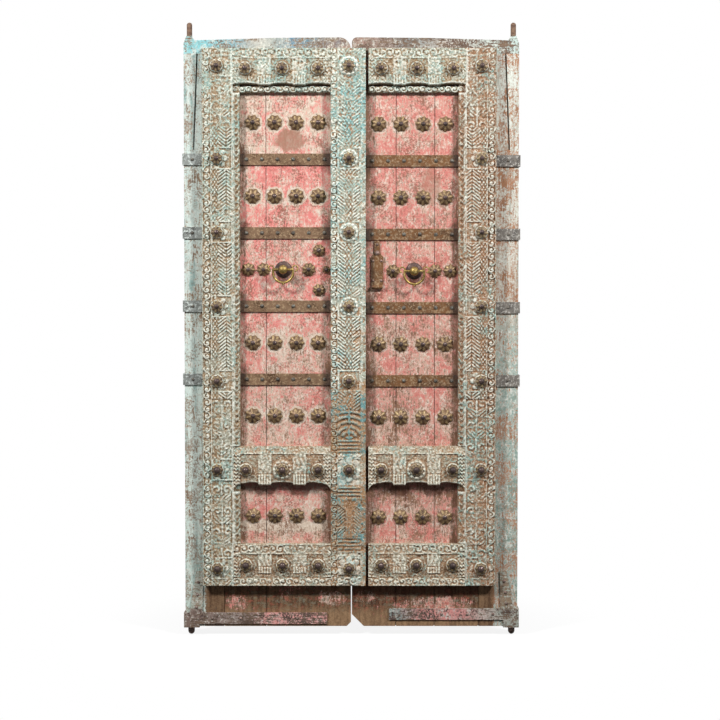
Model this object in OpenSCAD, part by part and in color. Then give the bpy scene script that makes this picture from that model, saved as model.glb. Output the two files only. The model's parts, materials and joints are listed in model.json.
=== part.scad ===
// Old painted pair of wooden door leaves with a carved applied frame.
// The origin is on the left pivot line at the top of the bottom journal.
// +X runs to the right, +Y away from the viewer, +Z up. The carved face looks to -Y.

/* [Leaves] */
// Width of one leaf across its boards
leaf_w = 554; // [540:1:590]
// Height of the boards from their foot to the top rail
board_h = 1908; // [1880:1:1960]
// Thickness of the boards and of the top rail
board_t = 40; // [32:1:48]
// Gap between the two leaves where they meet
leaf_gap = 3; // [2:0.5:6]
// Open joint between neighbouring boards
board_gap = 2; // [1:0.5:4]
// Width of the hinge board
hinge_board_w = 130; // [115:1:145]
// Width of the second board of the left leaf
left_board_w = 141; // [120:1:160]
// Width of the second board of the right leaf
right_board_w = 148; // [130:1:165]
// Width of the third board of the right leaf
right_third_w = 128; // [110:1:140]
// Worn corner at the foot of the left leaf's meeting edge
left_chip = 14; // [6:1:24]
// Worn corner at the foot of the right leaf's meeting edge
right_chip = 40; // [20:1:46]
// Thickness of the tongue that closes a joint
tongue_t = 10; // [6:1:14]
// How much lower the ironwork of the right leaf sits
right_drop = 5; // [0:1:10]

/* [Top rail and pivots] */
// Height of the top rail at its outer end
top_rail_h = 44; // [36:1:56]
// Rise of the top rail towards the middle of the pair
top_rail_rise = 10; // [2:1:14]
// Distance of the pivot line from the outer edge
pivot_inset = 18; // [16:1:26]
// Radius of the wooden top peg
peg_r = 9; // [7:0.5:12]
// Height of the peg's haunch above the rail
haunch_h = 14; // [8:1:20]
// Length of the straight top peg
peg_l = 38; // [26:1:50]
// Radius of the iron bottom journal
journal_r = 11; // [8:0.5:14]
// Length of the bottom journal
journal_l = 12; // [8:1:20]
// Width of the loose strip scarfed to the upper outer edge
strip_w = 42; // [32:1:46]
// Height of that strip
strip_h = 318; // [260:1:320]
// Open gap beside that strip
strip_gap = 5; // [2:0.5:7]

/* [Carved frame] */
// Thickness of the carved frame
frame_t = 36; // [30:1:44]
// Depth of the carving
relief = 6; // [4:0.5:8]
// Height of the frame's foot above the foot of the boards
frame_foot = 141; // [125:1:150]
// How far the frame's head stands above the top of the boards
frame_over = 15; // [3:1:33]
// Distance of the left stile from the outer edge
left_margin = 62; // [55:1:75]
// Distance of the right stile from the outer edge
right_margin = 77; // [68:1:85]
// Width of a carved stile without its beaded inner edge
stile_w = 100; // [94:1:108]
// Width of the beaded inner edge
edge_w = 24; // [16:1:28]
// Width of the centre post
post_w = 116; // [104:1:124]
// How far the centre post laps over the right leaf
post_lap = 46; // [36:1:52]
// Clear gap between the centre post and the right leaf's rails
post_gap = 9; // [7:1:14]
// Clearance behind the lapping part of the post
lap_clear = 0.3; // [0.2:0.1:1]
// Height of the head rail
head_h = 120; // [112:1:128]
// Drop of the rounded ends of the head rail
head_drop = 3; // [2:1:8]
// Height of the beaded strip under the head rail
bead_h = 22; // [16:1:28]
// Height of the middle rail
mid_h = 124; // [114:1:134]
// Height of the middle rail's top edge above the frame's foot
mid_top = 465; // [455:1:475]
// Height of the foot rail
foot_h = 139; // [128:1:150]
// Drop of the rounded ends of the middle rail
mid_drop = 26; // [16:1:32]
// Pitch of the herringbone ribs
rib_pitch = 13; // [11:1:18]

/* [Ironwork] */
// Height of an iron band
band_h = 38; // [30:1:44]
// Thickness of the iron bands and plates
band_t = 5; // [3:0.5:7]
// Distance of the uppermost band's centre below the head rail
band_head = 244; // [237:1:251]
// Distance of the lowest band's centre above the middle rail
band_low = 222.5; // [210:0.5:235]
// Clearance of the housings over the bands
housing = 0.5; // [0.3:0.1:1]
// Radius of a band rivet
rivet_r = 6.5; // [5:0.5:9]
// Distance of a band's first rivet from the edge of the panel
rivet_end = 21; // [16:1:30]
// Distance from the meeting edge to the end of the left corner iron
left_strap_end = 80; // [54:1:150]
// Distance from the meeting edge to the end of the right corner iron
right_strap_end = 124; // [95:1:170]
// Height of the corner iron's upright leg
leg_h = 186; // [140:1:200]
// Height of the corner iron's strap
strap_h = 38; // [30:1:44]

/* [Bosses and studs] */
// Share of their pitch that the petalled bosses cover
boss_fill = 0.74; // [0.64:0.01:0.78]
// Share of the panel's width outside the first boss of a row
boss_end = 0.14; // [0.13:0.005:0.16]
// Height of the domed body of a boss
boss_h = 13; // [9:0.5:16]
// Radius of a petalled stud on the frame
stud_r = 21; // [17:0.5:24]
// How far the lower panel's row sits below the middle of that panel
low_row_drop = 9; // [0:1:20]
// Radius of a nail head
nail_r = 5; // [4:0.5:6]

/* [Ring pulls] */
// How far a ring pull sits off the middle of its panel
pull_shift = 7; // [3:1:11]
// Radius of the rose behind the knob
rose_r = 28; // [24:0.5:31]
// Height of the rose
rose_h = 10; // [7:0.5:14]
// Radius of the knob
knob_r = 15; // [13:0.5:18]
// Distance of the knob's centre from the boards
knob_out = 34; // [31:0.5:38]
// Radius of the ring's wire
wire_r = 4; // [3:0.25:4.5]
// Mean radius of the ring
ring_r = 33; // [30:0.5:36]
// Radial clearance of the ring's ends in the knob
ring_clear = 0.08; // [0.05:0.01:0.1]

/* [Hidden] */
$fn = 48;
pair_w = 2 * leaf_w + leaf_gap;
foot_z = 6;
face = -board_t / 2;
shoe_t = 4;
tip_h = 12;
leaf_top = foot_z + board_h;
frame_z0 = foot_z + frame_foot;
frame_h = board_h + frame_over - frame_foot;
frame_z1 = frame_z0 + frame_h;
slab_t = frame_t - relief;
margin = [left_margin, right_margin];
stile_u1 = [left_margin + stile_w, right_margin + stile_w];
panel_u0 = [left_margin + stile_w + edge_w, right_margin + stile_w + edge_w];
post_u0 = leaf_w + leaf_gap + post_lap - post_w;
panel_u1 = [post_u0, leaf_w - post_lap];
rail_u1 = [post_u0, leaf_w - post_lap - post_gap];
mid_z1 = frame_z0 + mid_top;
head_z0 = frame_z1 - head_h;
band_top = head_z0 - band_head;
band_pitch = (band_top - mid_z1 - band_low) / 3;
band_gap = band_pitch - band_h;
panel_w = [panel_u1[0] - panel_u0[0], panel_u1[1] - panel_u0[1]];
boss_r = boss_fill * panel_w[0] * (1 - 2 * boss_end) / 6;
low_row = (mid_z1 - mid_h + frame_z0 + foot_h) / 2 - low_row_drop;
strap_l = [leaf_w - left_strap_end, leaf_w - right_strap_end];
stud_zs = [
    head_z0 + head_h * 0.518,
    band_top + 2,
    band_top - band_pitch + 2,
    band_top - 2 * band_pitch,
    band_top - 3 * band_pitch - 4,
    mid_z1 - mid_h * 0.62,
    frame_z0 + foot_h * 0.42
];
block = 2 * stud_r + 6;
head_stud = 0.4475;
mid_stud = 0.38;
ledge_h = 65;
ledge_t = 22;
ring_drop = 10;
journal_pin_r = 3;
ear_wire_r = 2.2;

// Height of a band's centre on side s, counted from the top
function band_z(s, i) = band_top - i * band_pitch - s * right_drop;
// Height of a row of bosses on side s, with the lower panel's row as the sixth
function row_z(s, i) = i < 5 ? band_z(s, i) + band_pitch / 2 : low_row - s * right_drop;
// Middle of the visible panel across the leaf
function panel_mid(s) = (panel_u0[s] + panel_u1[s]) / 2;
// Place of the ring pull across the leaf
function pull_u(s) = panel_mid(s) - pull_shift;

// Width, height and place of the hasp plate between two bands
hasp_w = panel_w[1] * 0.13;
hasp_h = band_gap * 0.71;
hasp_u = panel_u1[1] - panel_w[1] * 0.124;
hasp_z0 = row_z(1, 2) - hasp_h * 0.315;

// Stands a leaf's own coordinates, counted inwards from its outer edge, in the shared frame
module on_leaf(s) {
    if (s == 0) translate([-pivot_inset, 0, 0]) children();
    else translate([pair_w - pivot_inset, 0, 0]) mirror([1, 0, 0]) children();
}

// Stands a flat outline up, with its back at depth y and its thickness towards the viewer
module upright(y, t) {
    translate([0, y, 0]) rotate([90, 0, 0]) linear_extrude(t) children();
}

// Turns a profile about an axis that points at the viewer
module towards_viewer(u, y, z) {
    translate([u, y, z]) rotate([90, 0, 0]) children();
}

// Petalled outline with n pointed petals
function petals(r, n) = [
    for (k = [0 : n - 1])
        for (p = [[0, 1], [0.5, 0.8]])
            let (a = (k + p[0]) * 360 / n)
            [r * p[1] * sin(a), r * p[1] * cos(a)]
];

// Domed petal plate with a round nail head
module petal_boss(r, rim, h, nail_r) {
    sag = h - rim;
    ball = (r * r + sag * sag) / (2 * sag);
    intersection() {
        linear_extrude(h + 1) polygon(petals(r, 8));
        translate([0, 0, h - ball]) sphere(ball, $fn = 96);
    }
    translate([0, 0, max(h - nail_r * 0.35, nail_r + 0.2)]) sphere(nail_r);
}

// Low round rivet or nail head
module round_head(r, h) {
    ball = (r * r + h * h) / (2 * h);
    intersection() {
        translate([0, 0, h - ball]) sphere(ball);
        cylinder(r = r + 1, h = h + 1);
    }
}

// Strip with a scalloped inner edge, running up from the origin
module scallop_strip(len, w, pitch) {
    n = max(1, floor(len / pitch));
    step = len / n;
    edge = [
        for (i = [0 : n - 1])
            for (t = [0, 0.25, 0.5, 0.75])
                [w * (0.6 + 0.4 * sin(180 * t)), (i + t) * step]
    ];
    polygon(concat([[0, 0]], edge, [[w * 0.6, len], [0, len]]));
}

// Chain of diamonds on their points, running up from the origin
module diamond_chain(len, w, pitch) {
    n = max(1, floor(len / pitch));
    step = len / n;
    half = [for (i = [0 : 2 * n]) i % 2 == 0 ? w * 0.1 : w / 2];
    right = [for (i = [0 : 2 * n]) [half[i], i * step / 2]];
    left = [for (i = [2 * n : -1 : 0]) [-half[i], i * step / 2]];
    polygon(concat(right, left));
}

// Half of a herringbone field: ribs rise from a spine along the left edge
module herringbone(len, w) {
    rise = w * 0.7;
    n = max(1, floor((len - rise) / rib_pitch));
    rib = rib_pitch * 0.5;
    ribs = [
        for (i = [0 : n - 1])
            for (p = [[2, 0], [w, rise], [w, rise + rib], [2, rib]])
                [p[0], p[1] + i * rib_pitch]
    ];
    polygon(concat([[0, 0]], ribs, [[2, n * rib_pitch], [0, n * rib_pitch]]));
}

// Flower square around a stud
module stud_square() {
    difference() {
        square(block, center = true);
        circle(stud_r + 0.5);
    }
}

// Outline of a rail whose ends drop in a quarter round, with shallow arches between corbels
module rail_outline(len, h, drop, arch) {
    arc = [for (a = [0 : 15 : 90]) a];
    end_w = drop * 1.2;
    left_end = [for (a = arc) [end_w * (1 - cos(a)), -drop * (1 - sin(a))]];
    right_end = [for (a = arc) [len - end_w * (1 - sin(a)), -drop * (1 - cos(a))]];
    c = [0.255, 0.395, 0.61, 0.75];
    step1 = [for (t = [0.2 : 0.2 : 1]) [end_w + (len * c[0] - end_w) * t, arch * sin(180 * t)]];
    step2 = [for (t = [0 : 0.125 : 1]) [len * (c[1] + (c[2] - c[1]) * t), arch * sin(180 * t)]];
    step3 = [for (t = [0 : 0.2 : 0.8]) [len * c[3] + (len - end_w - len * c[3]) * t, arch * sin(180 * t)]];
    under = concat(left_end, step1, step2, step3, right_end);
    polygon(concat(under, [[len, h], [0, h]]));
}

// Boards
module board(s, u0, u1, chip = 0) {
    corner = chip > 0 ? [[u1 - chip, foot_z], [u1, foot_z + chip]] : [[u1, foot_z]];
    on_leaf(s) {
        upright(-face, board_t) polygon(concat([[u0, foot_z]], corner, [[u1, leaf_top], [u0, leaf_top]]));
        translate([u0 - board_gap, -tongue_t / 2, foot_z]) cube([board_gap + 1, tongue_t, board_h]);
    }
}

// Hinge board, cut back along its upper outer edge for the scarfed strip
module hinge_board(s) {
    top = leaf_top;
    low = leaf_top - strip_h;
    on_leaf(s) upright(-face, board_t) polygon([
        [0, foot_z],
        [hinge_board_w, foot_z],
        [hinge_board_w, top],
        [strip_w + strip_gap, top],
        [strip_w * 0.7 + strip_gap, low],
        [0, low]
    ]);
}

// Loose strip in that cut
module edge_strip(s) {
    top = leaf_top;
    low = leaf_top - strip_h;
    on_leaf(s) {
        upright(-face, board_t) polygon([[0, low], [strip_w * 0.7, low], [strip_w, top], [0, top]]);
        upright(tongue_t / 2, tongue_t) polygon([
            [strip_w * 0.7 - 1, low],
            [strip_w * 0.7 + strip_gap, low],
            [strip_w + strip_gap, top],
            [strip_w - 1, top]
        ]);
    }
}

// Top rail with a rounded inner corner, a haunch and the wooden pivot peg
module top_rail(s, corner) {
    z0 = leaf_top;
    z1 = leaf_top + top_rail_h;
    z2 = z1 + top_rail_rise;
    haunch_u = 2 * pivot_inset;
    turn = [for (a = [0 : 10 : 90]) [leaf_w - corner * (1 - cos(a)), z2 - corner * (1 - sin(a))]];
    on_leaf(s) {
        upright(-face, board_t) polygon(concat(
            [[0, z0], [leaf_w, z0]],
            turn,
            [[leaf_w * 0.55, z1 + top_rail_rise * 0.8], [haunch_u, z1], [pivot_inset + peg_r, z1 + haunch_h]],
            [[pivot_inset - peg_r, z1 + haunch_h], [3, z1 - 3], [0, z1 - 9]]
        ));
        translate([pivot_inset, 0, z1 + haunch_h - 6]) cylinder(r = peg_r, h = peg_l + 6);
        translate([pivot_inset, 0, z1 + haunch_h + peg_l]) sphere(peg_r);
    }
}

// Housings in the back of the carved frame for the iron bands
module band_housings(s) {
    for (i = [0 : 3])
        translate([-10, face - band_t - housing, band_z(s, i) - band_h / 2 - housing])
            cube([leaf_w + 20, band_t + housing + 1, band_h + 2 * housing]);
}

// Carved stile: scalloped border, diamonds, herringbone fields, flower squares and a beaded inner edge
module carved_stile(s) {
    u0 = margin[s];
    border = stile_w * 0.26;
    dia = stile_w * 0.24;
    stud_u = u0 + stile_w * 0.48;
    spine = u0 + border + dia + (stile_w - border - dia) / 2;
    rib_w = (stile_w - border - dia) / 2 - 2;
    front = face - slab_t + 1;
    difference() {
        union() {
            translate([u0, face - slab_t, frame_z0]) cube([stile_w, slab_t, frame_h]);
            upright_edge(s);
            upright(front, relief + 1) {
                translate([u0, frame_z0]) scallop_strip(frame_h, border, 22);
                for (i = [0 : 5]) {
                    low = stud_zs[i + 1] + block / 2 + 3;
                    high = stud_zs[i] - block / 2 - 3;
                    translate([u0 + border + dia / 2, low]) diamond_chain(high - low, dia * 0.8, 25);
                    translate([spine, low]) herringbone(high - low, rib_w);
                    translate([spine, low]) mirror([1, 0]) herringbone(high - low, rib_w);
                }
                for (z = stud_zs) translate([stud_u, z]) square(block, center = true);
            }
        }
        band_housings(s);
    }
}

// Sloping inner edge of a stile with a row of beads; it stops short under the head rail's strip
module upright_edge(s) {
    u1 = stile_u1[s];
    run = mid_z1 + 2;
    high = head_z0 - head_drop - bead_h;
    slope = [
        [u1 - 1, 0], [u1 + edge_w, 0], [u1 + edge_w, slab_t * 0.5],
        [u1 + edge_w * 0.3, slab_t], [u1 - 1, slab_t]
    ];
    for (span = [[run, high], [frame_z0 + foot_h + 2, mid_z1 - mid_h - mid_drop - 2]])
        translate([0, face, span[0]]) mirror([0, 1, 0]) linear_extrude(span[1] - span[0]) polygon(slope);
    upright(face - slab_t * 0.45, slab_t * 0.3 + 2)
        translate([u1 + edge_w * 0.3, run]) scallop_strip(high - run, edge_w * 0.55, 16);
}

// Carved rail between the stile and the post, with two fluted corbels and round medallions
module carved_rail(s, z_low, h, drop, seat) {
    u0 = stile_u1[s];
    len = rail_u1[s] - u0;
    c = [0.325, 0.68];
    front = face - slab_t + 1;
    upright(face, slab_t) translate([u0, z_low]) rail_outline(len, h, drop, 3);
    upright(front, relief + 1) {
        translate([u0, z_low + h]) rotate(-90) scallop_strip(len, h * 0.22, 20);
        for (k = c) translate([u0 + len * k, z_low + h * 0.36]) corbel(len * 0.135, h * 0.68);
        for (k = [0.13, 0.505, 0.87]) translate([u0 + len * k, z_low + h * seat]) medallion(h * 0.29);
    }
}

// Fluted corbel seen from the front
module corbel(w, h) {
    for (k = [-1, 0, 1])
        translate([k * w * 0.34, 0]) square([w * 0.24, h], center = true);
    translate([0, h * 0.42]) square([w, h * 0.16], center = true);
}

// Round medallion around a stud
module medallion(r) {
    circle(r);
}

// Foot rail with a straight lower edge
module carved_foot_rail(s) {
    u0 = stile_u1[s];
    len = rail_u1[s] - u0;
    front = face - slab_t + 1;
    translate([u0, face - slab_t, frame_z0]) cube([len, slab_t, foot_h]);
    upright(front, relief + 1) {
        translate([u0 + len, frame_z0]) rotate(90) scallop_strip(len, foot_h * 0.22, 20);
        translate([u0, frame_z0 + foot_h]) rotate(-90) scallop_strip(len, foot_h * 0.16, 20);
        for (k = [0.325, 0.68])
            translate([u0 + len * k, frame_z0 + foot_h * 0.54]) corbel(len * 0.135, foot_h * 0.5);
        for (k = [0.13, 0.505, 0.87])
            translate([u0 + len * k, stud_zs[6] + foot_h * 0.08]) medallion(foot_h * 0.24);
    }
}

// Beaded strip under the head rail
module bead_strip(s) {
    u0 = stile_u1[s] + 0.5;
    len = rail_u1[s] - u0 - 0.5;
    z0 = head_z0 - head_drop - bead_h;
    on_leaf(s) {
        translate([u0, face - slab_t * 0.5, z0]) cube([len, slab_t * 0.5, bead_h]);
        upright(face - slab_t * 0.5 + 1, 5)
            translate([u0, z0 + bead_h]) rotate(-90) scallop_strip(len, bead_h * 0.8, 18);
    }
}

// Centre post on the left leaf, lapping over the right leaf
module post() {
    u0 = post_u0;
    bead = post_w * 0.2;
    rib_w = post_w * 0.2;
    dia = post_w * 0.2;
    mid_u = u0 + bead + rib_w + dia / 2 + 2;
    front = face - slab_t + 1;
    difference() {
        union() {
            translate([u0, face - slab_t, frame_z0]) cube([post_w, slab_t, frame_h]);
            upright(front, relief + 1) {
                translate([u0, frame_z0]) scallop_strip(frame_h, bead, 16);
                translate([u0 + post_w - post_w * 0.14, frame_z0]) square([post_w * 0.14, frame_h]);
                for (i = [0 : 5]) {
                    low = stud_zs[i + 1] + block / 2 + 3;
                    high = stud_zs[i] - block / 2 - 3;
                    translate([mid_u, low]) diamond_chain(high - low, dia * 0.85, 25);
                    translate([mid_u + dia / 2 + 1, low]) herringbone(high - low, rib_w);
                    translate([mid_u - dia / 2 - 1, low]) mirror([1, 0]) herringbone(high - low, rib_w);
                }
                for (z = stud_zs) translate([mid_u, z]) square(block, center = true);
            }
        }
        band_housings(0);
        translate([leaf_w, face - lap_clear, frame_z0 - 1]) cube([post_w, lap_clear + 1, frame_h + 2]);
    }
}

// Iron band across a leaf, folded round the outer edge on to the back
module band(s, i) {
    z0 = band_z(s, i) - band_h / 2;
    u1 = s == 0 ? leaf_w - 14 : leaf_w - post_lap - 3;
    on_leaf(s) {
        translate([-band_t, face - band_t, z0]) cube([u1 + band_t, band_t, band_h]);
        translate([-band_t, face - band_t, z0]) cube([band_t, board_t + 2 * band_t, band_h]);
        translate([-band_t, -face, z0]) cube([leaf_w * 0.2, band_t, band_h]);
    }
}

// Rivets along the bands and the nails at their outer ends
module band_rivets(s) {
    pitch = (panel_w[s] - 2 * rivet_end) / 5;
    on_leaf(s) for (i = [0 : 3]) {
        for (k = [-2.5 : 1 : 2.5])
            towards_viewer(panel_mid(s) + k * pitch, face - band_t, band_z(s, i)) round_head(rivet_r, 5);
        towards_viewer(margin[s] * 0.45, face - band_t, band_z(s, i)) round_head(rivet_r * 0.8, 4);
    }
}

// Petalled bosses in rows across the panels
module bosses(s) {
    rows = [0, 1, 3, 4, 5];
    mid = panel_mid(s);
    pitch = panel_w[s] * (1 - 2 * boss_end) / 3;
    on_leaf(s) {
        for (i = rows) for (k = [-1.5 : 1 : 1.5])
            towards_viewer(mid + k * pitch, face, row_z(s, i)) petal_boss(boss_r, 3, boss_h, 8);
        pull_boss_r = boss_r * 0.88;
        near = panel_w[s] * (s == 0 ? [-0.22, 0.28] : [-0.228, 0.228]);
        for (d = concat(near, [near[0] - 2 * pull_boss_r - 3]))
            towards_viewer(pull_u(s) + d, face, row_z(s, 2)) petal_boss(pull_boss_r, 3, boss_h, 8);
        if (s == 0) {
            for (d = [0.31, -0.33])
                towards_viewer(panel_u1[0] - boss_r * 1.48, face, row_z(0, 2) + d * band_gap)
                    petal_boss(band_gap * 0.105, 3, boss_h, 7);
            towards_viewer(panel_u1[0] - boss_r * 0.5 - 2, face, row_z(0, 2))
                petal_boss(boss_r * 0.5, 3, boss_h * 0.7, 5);
        }
    }
}

// Petalled studs on the carved frame; those of the centre post belong to the left leaf
module studs(s) {
    stud_u = margin[s] + stile_w * 0.48;
    u0 = stile_u1[s];
    len = rail_u1[s] - u0;
    on_leaf(s) {
        for (z = stud_zs) stud(stud_u, z);
        if (s == 0) for (z = stud_zs) stud(post_u0 + post_w * 0.5 + 2, z);
        for (k = [0.13, 0.505, 0.87]) {
            stud(u0 + len * k, head_z0 + head_h * head_stud);
            stud(u0 + len * k, mid_z1 - mid_h + mid_h * mid_stud);
            stud(u0 + len * k, stud_zs[6] + foot_h * 0.08);
        }
    }
}

// One stud seated on the carving
module stud(u, z) {
    towards_viewer(u, face - frame_t, z) petal_boss(stud_r, 2, 6, 9);
}

// Forged corner iron: foot strap, tapered leg, and a shoe folded round the corner
module corner_iron(s) {
    z0 = foot_z + strap_h * (s == 0 ? 0.21 : 0.58);
    shoe_u = leg_h * 0.253;
    on_leaf(s) {
        upright(face, band_t) polygon([
            [-band_t, foot_z - shoe_t],
            [shoe_u, foot_z - shoe_t],
            [shoe_u, z0],
            [strap_l[s], z0],
            [strap_l[s], z0 + strap_h],
            [leg_h * 0.306, z0 + strap_h],
            [leg_h * 0.32, foot_z + leg_h],
            [leg_h * 0.2, foot_z + leg_h],
            [leg_h * 0.075, z0 + strap_h],
            [-band_t, z0 + strap_h]
        ]);
        translate([-band_t, face - band_t, foot_z - shoe_t])
            cube([band_t, board_t + 2 * band_t, z0 + strap_h - foot_z + shoe_t]);
        translate([-band_t, face - band_t, foot_z - shoe_t])
            cube([shoe_u + band_t, board_t + 2 * band_t, shoe_t]);
        translate([-band_t, -face, foot_z - shoe_t])
            cube([leaf_w * 0.29, band_t, z0 + strap_h - foot_z + shoe_t]);
    }
}

// Nails of the corner iron
module corner_nails(s) {
    z0 = foot_z + strap_h * (s == 0 ? 0.21 : 0.58);
    leg_z = z0 + strap_h;
    on_leaf(s) {
        for (k = [0.13, 0.43, 0.73])
            towards_viewer(leg_h * (0.19 + 0.065 * k), face - band_t, leg_z + k * (foot_z + leg_h - leg_z))
                round_head(nail_r, nail_r * 0.8);
        for (k = [0.19, 0.39, 0.59, 0.79])
            towards_viewer(k * strap_l[s], face - band_t, z0 + strap_h / 2) round_head(nail_r, nail_r * 0.8);
    }
}

// Iron pintle under the shoe: collar, journal and rounded tip
module pintle(s) {
    collar = foot_z - shoe_t;
    on_leaf(s) translate([pivot_inset, 0, 0]) rotate_extrude() polygon(concat(
        [[0, collar], [journal_r + 5, collar], [journal_r, 0], [journal_r, -journal_l]],
        [for (a = [0 : 10 : 90]) [journal_r * cos(a), -journal_l - tip_h * sin(a)]]
    ));
}

// Ledges across the back behind each row of bosses
module ledges(s) {
    on_leaf(s) for (i = [0 : 5])
        translate([margin[s], -face, row_z(s, i) - ledge_h / 2])
            cube([leaf_w - margin[s] - 30, ledge_t, ledge_h]);
}

// Round rose of a ring pull
module rose(s) {
    top_r = 9;
    on_leaf(s) towards_viewer(pull_u(s), face, row_z(s, 2)) rotate_extrude() polygon(concat(
        [[0, 0]],
        [for (a = [0 : 15 : 90]) [top_r + (rose_r - top_r) * cos(a), 2 + (rose_h - 2) * sin(a)]],
        [[0, rose_h]],
        []
    ));
}

// Brass knob with a side bore for each end of the ring
module knob(s) {
    bore = journal_pin_r + ring_clear;
    on_leaf(s) towards_viewer(pull_u(s), face, row_z(s, 2)) difference() {
        union() {
            translate([0, 0, rose_h]) cylinder(r = 8, h = knob_out - rose_h);
            translate([0, 0, knob_out]) sphere(knob_r);
        }
        for (d = [-1, 1])
            translate([d * (knob_r - 6), 0, knob_out]) rotate([0, d * 90, 0]) cylinder(r = bore, h = 10);
    }
}

// Arc of round wire in the plane of the ring
module wire_arc(r, wire, from, turn) {
    rotate([0, 0, from]) rotate_extrude(angle = turn) translate([r, 0]) circle(wire);
}

// Hanging ring: round ends in the knob, knuckled shoulders, oval bow, scrolled ears and a small finial
module ring(s) {
    shoulder = sqrt(ring_r * ring_r - ring_drop * ring_drop);
    open_a = asin(ring_drop / ring_r);
    ear_r = 9;
    hinge_y = face - knob_out;
    on_leaf(s) translate([pull_u(s), hinge_y, row_z(s, 2)]) rotate([90, 0, 0]) {
        translate([0, -ring_drop, 0]) wire_arc(ring_r, wire_r, 180 - open_a, 180 + 2 * open_a);
        for (d = [0, 1]) mirror([d, 0, 0]) {
            translate([knob_r + 1, 0, 0]) rotate([0, 90, 0]) cylinder(r = wire_r, h = shoulder - knob_r - 1);
            translate([knob_r - 5, 0, 0]) rotate([0, 90, 0]) cylinder(r = journal_pin_r, h = 8);
            translate([shoulder, 0, 0]) sphere(wire_r + 0.8);
            translate([shoulder + ear_r * cos(20), ear_r * sin(20) + 1, 0]) {
                wire_arc(ear_r, ear_wire_r, -70, 270);
                rotate([0, 0, -70]) translate([ear_r, 0, 0]) sphere(ear_wire_r + 1);
            }
        }
        translate([0, -ring_drop - ring_r - wire_r - 1, 0]) sphere(wire_r - 1);
    }
}

// Hasp plate with a narrow neck and the knuckle of its lost arm
module hasp_plate() {
    u = hasp_u;
    w = hasp_w / 2;
    z0 = hasp_z0;
    knuckle = w * 0.35;
    on_leaf(1) {
        upright(face, band_t) polygon([
            [u - w, z0],
            [u + w, z0],
            [u + w, z0 + hasp_h * 0.63],
            [u + w * 0.45, z0 + hasp_h * 0.726],
            [u + w * 0.45, z0 + hasp_h],
            [u - w * 0.45, z0 + hasp_h],
            [u - w * 0.45, z0 + hasp_h * 0.726],
            [u - w, z0 + hasp_h * 0.63]
        ]);
        translate([u - w * 0.9, face - knuckle, z0 - knuckle]) rotate([0, 90, 0])
            cylinder(r = knuckle, h = w * 1.8);
        translate([u - w * 0.9, face - knuckle, z0 - knuckle]) cube([w * 1.8, knuckle, knuckle]);
    }
}

// Rivets of the hasp plate
module hasp_rivets() {
    on_leaf(1) {
        for (p = [[-0.35, 0.1], [0.35, 0.1], [-0.35, 0.55], [0.35, 0.55], [0, 0.92]])
            towards_viewer(hasp_u + p[0] * hasp_w, face - band_t, hasp_z0 + p[1] * hasp_h)
                round_head(nail_r * 0.9, nail_r * 0.8);
        towards_viewer(hasp_u, face - band_t, hasp_z0 + hasp_h * 0.726)
            round_head(hasp_w * 0.2, hasp_w * 0.175);
    }
}

module left_hinge_board() { color("powderblue") hinge_board(0); }
module left_board_2() {
    color("lightsalmon") board(0, hinge_board_w + board_gap, hinge_board_w + left_board_w);
}
module left_board_3() { color("salmon") board(0, hinge_board_w + left_board_w + board_gap, leaf_w, left_chip); }
module left_top_rail() { color("mediumturquoise") top_rail(0, 40); }
module left_edge_strip() { color("lightsteelblue") edge_strip(0); }
module left_stile() { color("darkseagreen") on_leaf(0) carved_stile(0); }
module left_head_rail() { color("darkseagreen") on_leaf(0) carved_rail(0, head_z0, head_h, head_drop, head_stud); }
module left_mid_rail() { color("cadetblue") on_leaf(0) carved_rail(0, mid_z1 - mid_h, mid_h, mid_drop, mid_stud); }
module left_foot_rail() { color("cadetblue") on_leaf(0) carved_foot_rail(0); }
module left_bead_strip() { color("beige") bead_strip(0); }
module centre_post() { color("lightseagreen") on_leaf(0) post(); }
module left_band_1() { color("sienna") band(0, 0); }
module left_band_2() { color("sienna") band(0, 1); }
module left_band_3() { color("sienna") band(0, 2); }
module left_band_4() { color("sienna") band(0, 3); }
module left_band_rivets() { color("peru") band_rivets(0); }
module left_bosses() { color("saddlebrown") bosses(0); }
module left_studs() { color("saddlebrown") studs(0); }
module left_corner_iron() { color("dimgray") corner_iron(0); }
module left_corner_nails() { color("gray") corner_nails(0); }
module left_pintle() { color("dimgray") pintle(0); }
module left_ledges() { color("burlywood") ledges(0); }
module left_rose() { color("darkolivegreen") rose(0); }
module left_knob() { color("goldenrod") knob(0); }
module left_ring() { color("darkgoldenrod") ring(0); }
module right_hinge_board() { color("tan") hinge_board(1); }
module right_board_2() {
    color("salmon") board(1, hinge_board_w + board_gap, hinge_board_w + right_board_w);
}
module right_board_3() {
    color("lightsalmon")
        board(1, hinge_board_w + right_board_w + board_gap, hinge_board_w + right_board_w + right_third_w);
}
module right_board_4() {
    color("salmon") board(1, hinge_board_w + right_board_w + right_third_w + board_gap, leaf_w, right_chip);
}
module right_top_rail() { color("rosybrown") top_rail(1, 18); }
module right_edge_strip() { color("tan") edge_strip(1); }
module right_stile() { color("peru") on_leaf(1) carved_stile(1); }
module right_head_rail() { color("darkseagreen") on_leaf(1) carved_rail(1, head_z0, head_h, head_drop, head_stud); }
module right_mid_rail() { color("cadetblue") on_leaf(1) carved_rail(1, mid_z1 - mid_h, mid_h, mid_drop, mid_stud); }
module right_foot_rail() { color("cadetblue") on_leaf(1) carved_foot_rail(1); }
module right_bead_strip() { color("beige") bead_strip(1); }
module right_band_1() { color("sienna") band(1, 0); }
module right_band_2() { color("sienna") band(1, 1); }
module right_band_3() { color("sienna") band(1, 2); }
module right_band_4() { color("sienna") band(1, 3); }
module right_band_rivets() { color("peru") band_rivets(1); }
module right_bosses() { color("saddlebrown") bosses(1); }
module right_studs() { color("saddlebrown") studs(1); }
module right_corner_iron() { color("dimgray") corner_iron(1); }
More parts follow.
